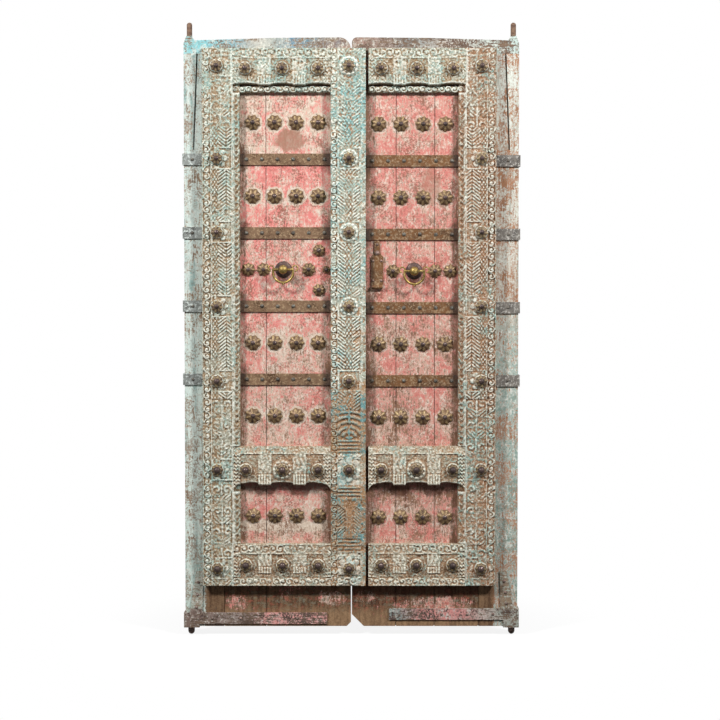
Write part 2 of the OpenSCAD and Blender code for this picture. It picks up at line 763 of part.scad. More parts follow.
module right_corner_nails() { color("gray") corner_nails(1); }
module right_pintle() { color("dimgray") pintle(1); }
module right_ledges() { color("burlywood") ledges(1); }
module right_rose() { color("goldenrod") rose(1); }
module right_knob() { color("goldenrod") knob(1); }
module right_ring() { color("darkgoldenrod") ring(1); }

left_hinge_board();
left_board_2();
left_board_3();
left_top_rail();
left_edge_strip();
left_stile();
left_head_rail();
left_mid_rail();
left_foot_rail();
left_bead_strip();
centre_post();
left_band_1();
left_band_2();
left_band_3();
left_band_4();
left_band_rivets();
left_bosses();
left_studs();
left_corner_iron();
left_corner_nails();
left_pintle();
left_ledges();
left_rose();
left_knob();
left_ring();
right_hinge_board();
right_board_2();
right_board_3();
right_board_4();
right_top_rail();
right_edge_strip();
right_stile();
right_head_rail();
right_mid_rail();
right_foot_rail();
right_bead_strip();
right_band_1();
right_band_2();
right_band_3();
right_band_4();
right_band_rivets();
right_bosses();
right_studs();
right_corner_iron();
right_corner_nails();
right_pintle();
right_ledges();
right_rose();
right_knob();
right_ring();
hasp_plate();
hasp_rivets();
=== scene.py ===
"""Looks of an old painted pair of carved door leaves.

Lengths are in millimetres until they go into a mesh. The carved face looks to -Y.
"""

import json

import bpy
import numpy as np
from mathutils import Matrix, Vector


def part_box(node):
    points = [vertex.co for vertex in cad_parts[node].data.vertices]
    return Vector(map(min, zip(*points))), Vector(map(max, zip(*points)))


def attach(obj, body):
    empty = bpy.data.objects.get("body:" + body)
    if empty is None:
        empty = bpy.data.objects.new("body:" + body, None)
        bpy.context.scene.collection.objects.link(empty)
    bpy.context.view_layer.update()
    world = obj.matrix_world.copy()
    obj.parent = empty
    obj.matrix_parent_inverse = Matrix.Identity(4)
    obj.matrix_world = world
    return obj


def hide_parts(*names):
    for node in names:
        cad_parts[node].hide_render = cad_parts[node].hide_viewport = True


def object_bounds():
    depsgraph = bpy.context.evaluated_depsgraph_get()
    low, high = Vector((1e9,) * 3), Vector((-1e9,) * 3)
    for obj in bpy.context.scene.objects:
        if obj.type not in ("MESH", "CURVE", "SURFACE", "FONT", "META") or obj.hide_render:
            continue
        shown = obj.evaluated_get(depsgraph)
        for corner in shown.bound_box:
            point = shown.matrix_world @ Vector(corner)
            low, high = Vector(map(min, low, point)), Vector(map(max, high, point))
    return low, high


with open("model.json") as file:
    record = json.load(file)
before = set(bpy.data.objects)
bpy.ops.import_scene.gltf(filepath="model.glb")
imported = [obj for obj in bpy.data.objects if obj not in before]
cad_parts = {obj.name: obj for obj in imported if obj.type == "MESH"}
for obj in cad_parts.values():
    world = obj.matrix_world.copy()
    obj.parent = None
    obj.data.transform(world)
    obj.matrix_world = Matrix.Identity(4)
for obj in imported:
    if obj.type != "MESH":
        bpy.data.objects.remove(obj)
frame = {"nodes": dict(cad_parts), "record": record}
cad_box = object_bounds()

MM = 0.001
FACE = -20.0
SIDES = ("left", "right")


def corner_box(node):
    """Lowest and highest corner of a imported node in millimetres."""
    low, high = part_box(node)
    return np.array(low) / MM, np.array(high) / MM


# numbers that vary smoothly


def step(low, high, t):
    """Smooth step: 0 below low, 1 above high, a cubic between."""
    t = np.clip((t - low) / (high - low), 0.0, 1.0)
    return t * t * (3 - 2 * t)


def fleck(a, b, cell, seed):
    """Lattice noise from 0 to 1: a hashed value at each corner, blended by a smooth step inside the cell."""
    ga, gb = a / cell, b / cell
    ia, ib = np.floor(ga), np.floor(gb)
    fa, fb = ga - ia, gb - ib
    fa, fb = fa * fa * (3 - 2 * fa), fb * fb * (3 - 2 * fb)

    def corner(da, db):
        h = np.sin((ia + da) * 127.1 + (ib + db) * 311.7 + seed * 74.7) * 43758.5453
        return h - np.floor(h)

    low = corner(0, 0) * (1 - fa) + corner(1, 0) * fa
    high = corner(0, 1) * (1 - fa) + corner(1, 1) * fa
    return low * (1 - fb) + high * fb


def wear(a, b, seed):
    """Three octaves of lattice noise, from 0 to 1."""
    return 0.5 * fleck(a, b, 26, seed) + 0.3 * fleck(a, b, 9, seed + 1) + 0.2 * fleck(a, b, 4, seed + 2)


def box_blur(h, reach):
    """Mean of each value's neighbours within reach cells, by running sums along both directions."""
    for axis in (0, 1):
        pad = [(0, 0), (0, 0)]
        pad[axis] = (reach + 1, reach)
        total = np.cumsum(np.pad(h, pad, mode="edge"), axis=axis)
        span = 2 * reach + 1
        size = h.shape[axis]
        ahead = np.take(total, np.arange(span, span + size), axis=axis)
        behind = np.take(total, np.arange(0, size), axis=axis)
        h = (ahead - behind) / span
    return h


# motifs of the carving, each from 0 on its ground to 1 at its crest


def ribs(t, crest=0.55):
    """Rounded ribs, one for each unit of t."""
    return np.clip(0.5 + 0.5 * np.cos(2 * np.pi * t), 0, 1) ** crest


def bead_row(a, b, radius, pitch):
    """Half round beads along b, centred on a = 0."""
    along = (b / pitch - np.floor(b / pitch) - 0.5) * pitch
    r2 = (a * a + along * along) / radius**2
    return np.sqrt(np.clip(1 - r2, 0, 1))


def scroll_row(a, b, radius, pitch):
    """Running scroll: a spiral in each pitch, every second one turned over, with a bud in its eye."""
    k = np.floor(b / pitch)
    along = b - (k + 0.5) * pitch
    turn = np.where(np.mod(k, 2) == 0, 1.0, -1.0)
    r = np.hypot(a, along) / radius
    angle = np.arctan2(along, a * turn)
    arm = np.clip(0.5 + 0.75 * np.cos(angle - 7.5 * r), 0, 1)
    return np.maximum(arm * step(1.15, 0.9, r), step(0.34, 0.2, r))


def diamond_net(a, b, wide, tall):
    """Lozenges in a net, high in the middle of each."""
    u, v = a / wide, b / tall
    return np.abs(np.sin(np.pi * (u + v)) * np.sin(np.pi * (u - v))) ** 0.6


def chevrons(a, b, pitch, slope):
    """Herringbone: ribs that rise or fall away from a groove at a = 0."""
    away = np.abs(a)
    return ribs((b + slope * away) / pitch) * step(1.0, 2.6, away)


def rosette(a, b, inner, outer, petals):
    """Ring of petals between two radii."""
    r = np.hypot(a, b)
    leaf = np.abs(np.cos(0.5 * petals * np.arctan2(a, b)))
    rim = inner + (outer - inner) * leaf**0.5
    return step(inner - 1.5, inner + 1.5, r) * step(rim + 1.0, rim - 1.5, r) * (0.55 + 0.45 * leaf)


def leaf_spray(a, b, half, tall):
    """Vase of leaves on a stem, mirrored about a = 0: a spiral each side, leaves rising from the stem."""
    m = np.abs(a)
    k = np.floor(b / tall)
    t = b - k * tall
    spiral_a, spiral_b = m - half * 0.52, t - tall * 0.58
    r = np.hypot(spiral_a, spiral_b) / (half * 0.5)
    arm = np.clip(0.5 + 0.8 * np.cos(np.arctan2(spiral_b, spiral_a) + 7 * r), 0, 1) * step(1.1, 0.85, r)
    low_down = step(tall * 0.36, tall * 0.2, np.abs(t - tall * 0.12))
    leaves = ribs((t - 0.9 * m) / 13.0, 0.8) * low_down * step(half, half * 0.8, m)
    stem = step(3.4, 1.6, m)
    return np.maximum(np.maximum(arm, stem), leaves)


# meshes


def write_piece(name, points, quads, caps, carve, smooth_count):
    """Writes points in millimetres, quads and a few many-sided caps into one mesh. The faces are turned round
    if the volume that they enclose, summed over their triangles, is below zero. The first smooth_count quads
    are shaded smooth, and carve becomes a point attribute."""
    corners = points[quads]
    triangles = [corners[:, [0, 1, 2]], corners[:, [0, 2, 3]]]
    for cap in caps:
        fan = points[cap]
        first = np.broadcast_to(fan[0], fan[1:-1].shape)
        triangles.append(np.stack([first, fan[1:-1], fan[2:]], 1))
    a, b, c = np.concatenate(triangles).transpose(1, 0, 2)
    if (a * np.cross(b, c)).sum() < 0:
        quads = quads[:, ::-1]
        caps = [cap[::-1] for cap in caps]
    mesh = bpy.data.meshes.new(name)
    mesh.vertices.add(len(points))
    mesh.vertices.foreach_set("co", (points * MM).astype(np.float32).ravel())
    loops = np.concatenate([quads.ravel(), *caps]).astype(np.int32)
    sizes = np.concatenate([np.full(len(quads), 4), np.array([len(cap) for cap in caps], int)])
    starts = np.concatenate([[0], np.cumsum(sizes)[:-1]]).astype(np.int32)
    mesh.loops.add(len(loops))
    mesh.loops.foreach_set("vertex_index", loops)
    mesh.polygons.add(len(sizes))
    mesh.polygons.foreach_set("loop_start", starts)
    mesh.polygons.foreach_set("use_smooth", np.arange(len(sizes)) < smooth_count)
    mesh.update(calc_edges=True)
    layer = mesh.attributes.new("carve", "FLOAT", "POINT")
    layer.data.foreach_set("value", carve.astype(np.float32))
    mesh.validate()
    piece = bpy.data.objects.new(name, mesh)
    bpy.context.scene.collection.objects.link(piece)
    return piece


def grid_quads(rows, cols, wrap=False):
    """Corner numbers of a grid's quads, joined up across its columns if wrap is set."""
    r = np.arange(rows - 1)[:, None]
    c = np.arange(cols if wrap else cols - 1)[None, :]
    d = (c + 1) % cols
    return np.stack([r * cols + c, r * cols + d, (r + 1) * cols + d, (r + 1) * cols + c], -1).reshape(-1, 4)


def carved_slab(name, x, z, height, back, bias=0.0):
    """Closed slab with a carved front: the front is a grid at FACE - height, rows run along the member, and
    the two long edges drop straight to a back strip at FACE - back, which steps over the iron bands. The
    attribute carve is the height less its local mean, plus a bias where the paint is paler or darker."""
    rows, cols = x.shape
    carve = np.clip(0.5 + (height - box_blur(height, 4)) / 9.0 + bias, 0, 1)
    front = np.stack([x, FACE - height, z], -1).reshape(-1, 3)
    edge0 = np.stack([x[:, 0], FACE - back, z[:, 0]], -1)
    edge1 = np.stack([x[:, -1], FACE - back, z[:, -1]], -1)
    points = np.concatenate([front, edge0, edge1])
    n = rows * cols
    r = np.arange(rows - 1)
    f0, f1, b0, b1 = r * cols, r * cols + cols - 1, n + r, n + rows + r
    wall0 = np.stack([f0, f0 + cols, b0 + 1, b0], -1)
    wall1 = np.stack([f1 + cols, f1, b1, b1 + 1], -1)
    rear = np.stack([b0, b0 + 1, b1 + 1, b1], -1)
    face = grid_quads(rows, cols)
    first = np.concatenate([np.arange(cols)[::-1], [n, n + rows]])
    last = np.concatenate([np.arange(n - cols, n), [n + 2 * rows - 1, n + rows - 1]])
    quads = np.concatenate([face, wall0, wall1, rear])
    carve = np.concatenate([carve.ravel(), np.full(2 * rows, 0.5)])
    return write_piece(name, points, quads, [first, last], carve, len(face))


# where the carving's parts are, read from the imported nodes


def solid_centres(node):
    """Middle and half width of each separate solid of a group node: points that share a triangle after
    rounding take the lowest label among them, until no label changes."""
    mesh = frame["nodes"][node].data
    co = np.zeros(len(mesh.vertices) * 3)
    mesh.vertices.foreach_get("co", co)
    co = co.reshape(-1, 3) / MM
    tri = np.zeros(len(mesh.loops), int)
    mesh.loops.foreach_get("vertex_index", tri)
    _, same = np.unique(np.round(co, 2), axis=0, return_inverse=True)
    same = same.reshape(-1)
    tri = same[tri.reshape(-1, 3)]
    label = np.arange(same.max() + 1)
    settled = False
    while not settled:
        before = label.copy()
        lowest = label[tri].min(1)
        for k in range(3):
            np.minimum.at(label, tri[:, k], lowest)
        label = label[label]
        settled = np.array_equal(before, label)
    groups = label[same]
    out = []
    for group in np.unique(groups):
        part = co[groups == group]
        low, high = part.min(0), part.max(0)
        out.append((*((low + high) / 2), (high[0] - low[0]) / 2))
    return np.array(out)


def band_rows(side):
    """Heights of the middles of a leaf's four iron bands, from the top down."""
    return [sum(corner[2] for corner in corner_box(f"{side}_band_{i}")) / 2 for i in range(1, 5)]


BAND_ROWS = {side: band_rows(side) for side in SIDES}
STUDS = {side: solid_centres(f"{side}_studs") for side in SIDES}
BOSSES = {side: solid_centres(f"{side}_bosses") for side in SIDES}
PANEL = {
    "left": (corner_box("left_stile")[1][0], corner_box("centre_post")[0][0]),
    "right": (corner_box("centre_post")[1][0], corner_box("right_stile")[0][0]),
}

# heights above the boards: the carving's ground, motifs and fillets on that ground, the face of the frame
GROUND = 29.0
RELIEF = 6.0
FILLET = 5.5
FRAME = 36.0

# spacing of the points on uprights and on rails
GRID = 2.1
RAIL_GRID = 1.7

# housing of an iron band in the back of the frame: half its height, and its depth
BAND_HALF = 20.5
BAND_DEPTH = 5.4

# radius of the flat seat under a stud
SEAT = 22.0


def band_steps(z, side):
    """Depth of the back above the boards: it steps out over each iron band."""
    back = np.zeros_like(z)
    for centre in BAND_ROWS[side]:
        back = np.where(np.abs(z - centre) < BAND_HALF, BAND_DEPTH, back)
    return back


def between(t, span):
    """Where t lies inside the first two values of a span."""
    return (t > span[0]) & (t < span[1])


def ringed(side):
    """Which studs have a carved ring: the upper ones of the post and the middle one of each middle rail."""
    x, z = STUDS[side][:, 0], STUDS[side][:, 2]
    low, high = corner_box(f"{side}_mid_rail")
    on_mid = between(z, (low[2], high[2])) & (np.abs(x - (low[0] + high[0]) / 2) < 40)
    on_post = between(x, (PANEL["left"][1], PANEL["right"][0]))
    return on_mid | (on_post & (z > 850))


def stud_seats(x, z, height, side):
    """Raises a flat round seat under each stud, with a ring of carved petals around the chosen ones."""
    for (sx, _, sz, _), bold in zip(STUDS[side], ringed(side)):
        r = np.hypot(x - sx, z - sz)
        if bold:
            notch = 0.7 + 0.3 * np.cos(12 * np.arctan2(x - sx, z - sz))
            ring = step(SEAT, SEAT + 2, r) * step(SEAT + 11, SEAT + 6, r) * notch
            sunk = np.maximum(np.minimum(height, 31.0), 30.0 + 5.0 * ring)
            height = np.where(r < SEAT + 13, sunk, height)
        seat = FRAME - 4 * step(SEAT - 2, SEAT, r)
        height = np.where(r < SEAT, np.maximum(height, seat), height)
    return height


def ring_bias(x, z, side):
    """Paler, patchy paint around each stud, most on the ringed ones."""
    pale = np.zeros_like(x)
    patchy = step(0.3, 0.6, wear(x + 31, z + 47, 5.0))
    for (sx, _, sz, _), bold in zip(STUDS[side], ringed(side)):
        r = np.hypot(x - sx, z - sz)
        ring = step(SEAT - 2, SEAT, r) * step(SEAT + 12, SEAT + 5, r)
        pale = pale + (0.22 if bold else 0.1) * ring * patchy
    return pale


def square_rim(across, up):
    """Narrow raised frame just inside the edge of a square, from shares of its half sizes across and up."""
    rim = np.maximum(np.abs(across), np.abs(up))
    return step(0.86, 0.9, rim) * step(1.0, 0.97, rim)


def weathered(a, b, height, seed, foot=0.5):
    """Carving after many coats: worn down towards its ground in patches, most near the top of the leaf and
    some at its foot, chipped in other places, gritty all over."""
    beaten = np.maximum(step(1600, 1760, b), foot * step(760, 640, b))
    soft = step(0.35, 0.65, wear(a, b, seed))
    lost = step(0.5, 0.68, 0.6 * fleck(a, b, 52, seed + 3) + 0.4 * fleck(a, b, 17, seed + 4))
    kept = (0.98 - 0.3 * soft - 0.4 * lost) * (1 - 0.5 * beaten)
    chips = step(0.62, 0.78, wear(a + 57, b + 91, seed + 5))
    grit = (1.7 + 1.6 * beaten) * fleck(a, b, 5.0, seed + 9) - 0.5 * fleck(a, b, 2.4, seed + 11)
    return GROUND + (height - GROUND) * kept - 2.2 * chips - grit


def upright_grid(low, high):
    """Points across and up the face of an upright member, one row for each height."""
    cols = int((high[0] - low[0]) / GRID) + 1
    rows = int((high[2] - low[2]) / GRID) + 1
    return np.meshgrid(np.linspace(low[0], high[0], cols), np.linspace(low[2], high[2], rows))


# stiles, with the lanes counted from the outer edge of the leaf

STILE_BORDER = 31.0
STILE_DIAMONDS = 53.0
STILE_MIDDLE = 66.0
STILE_SPINE = 80.0
STILE_SLOPE = 101.5
STILE_SQUARE = 37.0
SLOPE_PITCH = 19.0


def stile_border(p, z):
    """Running scroll between two plain fillets."""
    scroll = RELIEF * scroll_row(p - 15.0, z, 11.5, 22.0)
    fillets = step(3.2, 2.2, p) + step(27.2, 28.2, p) * step(STILE_BORDER, STILE_BORDER - 1, p)
    return np.maximum(scroll, FILLET * fillets)


def stile_bones(p, z, studs_z):
    """Herringbone whose ribs turn over at every stud."""
    passed = sum((z < stud_z).astype(int) for stud_z in studs_z)
    slope = np.where(passed % 2 == 1, -0.8, 0.8)
    return RELIEF * chevrons(p - STILE_SPINE, z, 11.5, slope)


def stile_spray(p, z, seed):
    """Leaf sprays about a stem that wanders a little, worn thin in patches."""
    depth = 1.6 + 3.6 * step(0.35, 0.62, wear(p, z, seed + 21))
    wander = 6 * fleck(p, z, 40, seed + 8)
    return depth * leaf_spray(p - STILE_MIDDLE + wander, z, 34.0, 71.0)


def stile_slope(p, z):
    """Slope down to the panel, with a row of holes and a petal between every two of them."""
    fall = 33.0 - 15.0 * (p - STILE_SLOPE) / 22.5
    petal = ribs((z + 4 * np.sin(p * 0.6)) / SLOPE_PITCH + 0.5, 0.8)
    return fall + 2.5 * petal - 5.5 * bead_row(p - 113.0, z, 6.0, SLOPE_PITCH)


def stile_height(p, z, studs_z, stud_p, seed):
    """Height of a stile's carving: border, diamonds and herringbone side by side, leaf sprays at both ends, a
    fillet, a flower square round each stud, and the slope down to the panel."""
    field_end = STILE_SLOPE - 0.5
    h = np.where(p < STILE_BORDER, GROUND + stile_border(p, z), GROUND)
    diamonds = GROUND + RELIEF * diamond_net(p - STILE_BORDER, z, 11.0, 17.0)
    h = np.where((p >= STILE_BORDER) & (p < STILE_DIAMONDS), diamonds, h)
    h = np.where((p >= STILE_DIAMONDS) & (p < field_end), GROUND + stile_bones(p, z, studs_z), h)
    sprayed = (z > studs_z[1] + 105) | (z < studs_z[4] - 60)
    h = np.where((p >= STILE_BORDER) & (p < field_end) & sprayed, GROUND + stile_spray(p, z, seed), h)
    h = np.where((p >= STILE_SLOPE - 3) & (p < STILE_SLOPE), GROUND + FILLET, h)
    for stud_z in studs_z:
        inside = (np.abs(z - stud_z) < STILE_SQUARE) & between(p, (STILE_BORDER, field_end))
        petals = rosette(p - stud_p, z - stud_z, 21, 37, 8)
        rim = square_rim((p - STILE_MIDDLE) / 35, (z - stud_z) / STILE_SQUARE)
        h = np.where(inside, 30.0 + 4.5 * np.maximum(petals, rim), h)
    h = np.where(p >= STILE_SLOPE, stile_slope(p, z), h)
    return weathered(p, z, h, seed)


def add_stile(side):
    """One stile as a carved slab. Its slope lies low behind the rails and the bead strip."""
    node = f"{side}_stile"
    low, high = corner_box(node)
    x, z = upright_grid(low, high)
    mine = STUDS[side][between(STUDS[side][:, 0], (low[0], high[0]))]
    studs_z = np.sort(mine[:, 2])[::-1]
    if side == "left":
        p, stud_p, seed = x - low[0], np.mean(mine[:, 0] - low[0]), 3.0
    else:
        p, stud_p, seed = high[0] - x, np.mean(high[0] - mine[:, 0]), 17.0
    h = stile_height(p, z, studs_z, stud_p, seed)
    mid_low, mid_high = corner_box(f"{side}_mid_rail")
    by_head = z > corner_box(f"{side}_head_rail")[0][2] - 22
    by_mid = between(z, (mid_low[2], mid_high[2]))
    by_foot = z < corner_box(f"{side}_foot_rail")[1][2]
    h = np.where((p > STILE_SLOPE) & (by_head | by_mid | by_foot), 16.0, h)
    h = np.clip(stud_seats(x, z, h, side), 6, FRAME)
    darker = 0.06 * between(p, (30, STILE_DIAMONDS)) + 0.05 * (p > STILE_SLOPE) + 0.2 * (p < 1.6)
    bias = ring_bias(x, z, side) - darker
    return carved_slab(f"{node}_carving", x, z, h, band_steps(z[:, 0], side), bias), node


# centre post, with its lanes counted from its left edge and heights from its stud at the middle rail

POST_FIELD = (24.5, 98.0)
POST_DIAMONDS = (48.0, 72.0)
POST_MIDDLE = 61.0
POST_SQUARE = 36.0
UPPER_STUDS = 5
LOTUS = (100.0, 198.0)
GOBLET = (-225.0, -96.0)
UPPER_FLOWER = (-52.0, 54.0, 0.0)
LOWER_FLOWER = (-352.0, -277.0, -332.0)


def post_lanes(p, z):
    """Scroll, fillet, herringbone with diamonds down its middle, groove and plain strip, side by side."""
    left, right = POST_FIELD
    start, end = POST_DIAMONDS
    h = np.where(p < 23, GROUND + RELIEF * scroll_row(p - 11.5, z, 11.0, 23.0), GROUND)
    h = np.where((p >= left - 3) & (p < left), 34.0, h)
    h = np.where((p >= left) & (p < right), GROUND + RELIEF * chevrons(p - 60.0, z, 11.5, -0.8), h)
    h = np.where((p >= start) & (p < end), GROUND + RELIEF * diamond_net(p - start, z, 12.0, 19.0), h)
    h = np.where(p >= right, 34.0, h)
    return np.where((p >= right - 2) & (p < right + 1), 30.0, h)


def lotus(a, t):
    """Rings of petals that open upwards from the lotus's foot, with a stem up the middle."""
    rise = t - LOTUS[0]
    rings = ribs((np.hypot(a, rise) - 8) / 17.0, 0.7) * step(-0.2, 0.4, rise - 0.5 * np.abs(a))
    return np.maximum(rings, step(4, 2, np.abs(a)))


def goblet_reach(t):
    """Half width of the goblet at height t: a stem that flares to a bowl above and to a foot below."""
    return 11 + 26 * step(-140, -114, t) + 16 * step(-203, -222, t)


def goblet(a, t):
    """Reeded goblet with slanting leaves beside it."""
    away, reach = np.abs(a), goblet_reach(t)
    cup = step(reach + 2, reach - 1, away) * (0.75 + 0.25 * ribs(a / 11.0))
    leaves = 0.8 * ribs((t + 0.9 * away) / 11.0, 0.7) * step(reach + 3, reach + 5, away)
    return np.maximum(cup, leaves)


def flower_square(a, t):
    """Rosette round a stud, with a bud in each corner."""
    buds = rosette(np.abs(a) - 27, np.abs(t - 12) - 30, 2, 12, 5)
    return np.maximum(rosette(a, t, 23, 42, 8), buds)


def lower_post(p, t, h):
    """Lower half of the post: mouldings, with a lotus, a goblet, two flower squares and a rope over them."""
    a = p - POST_MIDDLE
    field = between(p, POST_FIELD)
    h = np.where(field & (t < LOTUS[1]), GROUND + FILLET * ribs(t / 12.0, 0.7), h)
    h = np.where(field & between(t, LOTUS), GROUND + RELIEF * lotus(a, t), h)
    h = np.where(field & between(t, GOBLET), GROUND + RELIEF * goblet(a, t), h)
    for square in (UPPER_FLOWER, LOWER_FLOWER):
        flower = 29.5 + FILLET * flower_square(a, t - square[2])
        h = np.where(field & between(t, square), flower, h)
    rope = GROUND + RELIEF * scroll_row(t + 372.0, p, 13.0, 21.0)
    return np.where(field & (t < LOWER_FLOWER[0]), rope, h)


def lower_bias(p, t):
    """Paler paint in the two flower squares of the post and on the leaves beside its goblet."""
    away = np.abs(p - POST_MIDDLE)
    square = (between(t, UPPER_FLOWER) | (t < LOWER_FLOWER[1])) & between(p, (24.0, POST_FIELD[1]))
    by_goblet = between(t, GOBLET) & (away < 37)
    return 0.2 * square + by_goblet * np.where(away < goblet_reach(t), -0.02, 0.08)


def add_post():
    """Centre post: its lanes, the pattern of its lower half, and a framed square round each upper stud."""
    low, high = corner_box("centre_post")
    x, z = upright_grid(low, high)
    p = x - low[0]
    studs = STUDS["left"]
    studs_z = np.sort(studs[studs[:, 0] > low[0]][:, 2])[::-1]
    t = z - studs_z[UPPER_STUDS]
    h = lower_post(p, t, post_lanes(p, z))
    for stud_z in studs_z[:UPPER_STUDS]:
        inside = (np.abs(z - stud_z) < POST_SQUARE) & between(p, (24.0, POST_FIELD[1]))
        rim = square_rim((p - POST_MIDDLE) / 37, (z - stud_z) / POST_SQUARE)
        h = np.where(inside, 31.0 + 3.5 * rim, h)
    h = weathered(p + 300, z, h, 29.0, foot=0.0)
    h = np.clip(stud_seats(x, z, h, "left"), 8, FRAME)
    clear_of_leaf = np.maximum(band_steps(z[:, 0], "left"), 0.3)
    bias = ring_bias(x, z, "left") - 0.06 * between(p, POST_DIAMONDS) + lower_bias(p, t)
    return carved_slab("centre_post_carving", x, z, h, clear_of_leaf, bias), "centre_post"


# rails, with k counted as a share of the height above the base line of the lower edge

CORBELS = ((0.255, 0.395), (0.61, 0.75))
CORBEL_DROP = 6.0
ARCH = 3.0
RAIL_END = 25.0
FOOT_BORDER = 0.2

# for each rail: drop of its lower edge at the ends, start of its upper border as a share, seed of its wear
RAILS = {"head": (3.0, 0.74, 57.0), "mid": (26.0, 0.8, 56.0), "foot": (0.0, 0.78, 57.0)}


def rail_underside(t, length, drop):
    """Lower edge along a rail: rounded ends that drop, hanging corbels, shallow arches between them."""
    end = drop * 1.6
    near = np.minimum(t, 1 - t) * length
    edge = drop * (np.sqrt(np.clip(1 - (1 - np.clip(near / end, 0, 1)) ** 2, 0, 1)) - 1)
    (first, second), (third, fourth) = CORBELS
    for a, b in ((end / length, first), (second, third), (fourth, 1 - end / length)):
        bow = ARCH * np.sin(np.pi * np.clip((t - a) / (b - a), 0, 1))
        edge = edge + np.where(between(t, (a, b)), bow, 0.0)
    for a, b in CORBELS:
        edge = edge - min(drop, CORBEL_DROP) * step(a, a + 0.012, t) * step(b, b - 0.012, t)
    return edge


def corbel(across, z, k, reeds_end):
    """Height and paint bias of a corbel: reeds below, a cut, and a hollowed block with carved waves above."""
    flute = ribs(across * 2.5, 0.5)
    reeds = step(reeds_end + 0.02, reeds_end - 0.03, k)
    waves = 3.4 * ribs(across * 1.5 + 0.3 * np.sin(z / 9.0), 0.7)
    hollow = 2.4 * ((k - 0.5) / 0.3) ** 2
    h = 35.8 - 3.0 * step(0.82, 1.0, np.abs(across)) - 4.5 * (1 - flute) * reeds
    h = h - (1 - reeds) * (hollow + waves) - 3.0 * step(0.03, 0.0, np.abs(k - reeds_end))
    return h, 0.07 - 0.1 * (1 - flute) * reeds


def upper_border(h, k, s, body, start):
    """Running scroll along the top of a rail, between a fillet at its start and another at the edge."""
    scroll = scroll_row((k - (start + 1) / 2) * body, s, body * (1 - start) * 0.5, 24.0)
    h = np.where(k > start, GROUND + RELIEF * scroll, h)
    h = np.where(np.abs(k - start) < 0.018, GROUND + FILLET, h)
    return np.where(k > 0.975, 33.5, h)


def lower_border(h, k, s, body):
    """Running scroll along the bottom of a foot rail, between a fillet at the edge and a groove."""
    scroll = scroll_row((k - FOOT_BORDER / 2) * body, s, body * FOOT_BORDER * 0.48, 22.0)
    h = np.where(k < FOOT_BORDER, GROUND + RELIEF * scroll, h)
    h = np.where(np.abs(k - FOOT_BORDER) < 0.016, 27.5, h)
    return np.where(k < 0.03, 34.0, h)


def rail_carving(kind, s, z, k, length, body):
    """Height and paint bias of a rail: zigzag ends, two corbels, scroll borders or the middle one's slope."""
    start = RAILS[kind][1]
    near = np.minimum(s, length - s)
    zigzag = ribs((z + 7 * np.abs(np.mod(near / 11.0, 1) * 2 - 1)) / 12.0, 0.7)
    h = np.where(between(near, (3, RAIL_END)), GROUND + RELIEF * zigzag, GROUND)
    h = np.where(near < 3, GROUND + FILLET, h)
    bias = np.full_like(s, -0.06)
    corbel_start, reeds_end = (0.30, 0.46) if kind == "foot" else (-1.0, 0.26)
    for a, b in CORBELS:
        across = (2 * s / length - a - b) / (b - a)
        inside = (np.abs(across) < 1) & between(k, (corbel_start, start))
        corbel_h, corbel_bias = corbel(across, z, k, reeds_end)
        h = np.where(inside, corbel_h, h)
        bias = np.where(inside, corbel_bias, bias)
    if kind == "mid":
        h = np.where(k > start, 34.0 - 15.0 * (k - start) / (1 - start), h)
    else:
        h = upper_border(h, k, s, body, start)
    bias = np.where(k > start, 0.0 if kind == "mid" else 0.03, bias)
    if kind == "foot":
        h = lower_border(h, k, s, body)
        bias = np.where(k < FOOT_BORDER, 0.03, bias)
    return h, np.where(near < RAIL_END, 0.02, bias)


def add_rail(side, kind):
    """Head, middle or foot rail as a carved slab between its shaped lower edge and a straight top."""
    node = f"{side}_{kind}_rail"
    low, high = corner_box(node)
    length = high[0] - low[0]
    drop, _, seed = RAILS[kind]
    rows = int(length / RAIL_GRID) + 1
    cols = int((high[2] - low[2]) / RAIL_GRID) + 1
    t = np.linspace(0, 1, rows)
    if side == "right":
        t = t[::-1]
    base = low[2] + drop
    under = base + (rail_underside(t, length, drop) if drop else np.zeros(rows))
    along, up = np.meshgrid(t, np.linspace(0, 1, cols), indexing="ij")
    z = under[:, None] + (high[2] - under[:, None]) * up
    s = along * length
    x = low[0] + s if side == "left" else high[0] - s
    body = high[2] - base
    h, bias = rail_carving(kind, s, z, (z - base) / body, length, body)
    h = stud_seats(x, z, weathered(s + 900, z, h, seed), side)
    if drop:
        h = h - 9.0 * step(0.05, 0.0, up) ** 2
    bias = bias + ring_bias(x, z, side)
    return carved_slab(f"{node}_carving", x, z, np.clip(h, 12, FRAME), np.zeros(rows), bias), node


def add_bead_strip(side):
    """Strip of scrolled leaves under the head rail, rounded across."""
    node = f"{side}_bead_strip"
    low, high = corner_box(node)
    length, tall = high[0] - low[0], high[2] - low[2]
    rows, cols = int(length / RAIL_GRID), 15
    s, up = np.meshgrid(np.linspace(0, 1, rows), np.linspace(0, 1, cols), indexing="ij")
    x, z = low[0] + s * length, low[2] + up * tall
    dome = np.sqrt(np.clip(1 - (2 * up - 1) ** 2 * 0.9, 0, 1))
    leaf = scroll_row((up - 0.5) * tall, s * length, tall * 0.5, 21.0)
    h = 9.0 + 5.0 * dome + 4.5 * leaf - fleck(x, z, 4, 71)
    return carved_slab(f"{node}_carving", x, z, np.clip(h, 4, 19), np.zeros(rows)), node


# petalled bosses and studs

PETAL_RINGS = 12


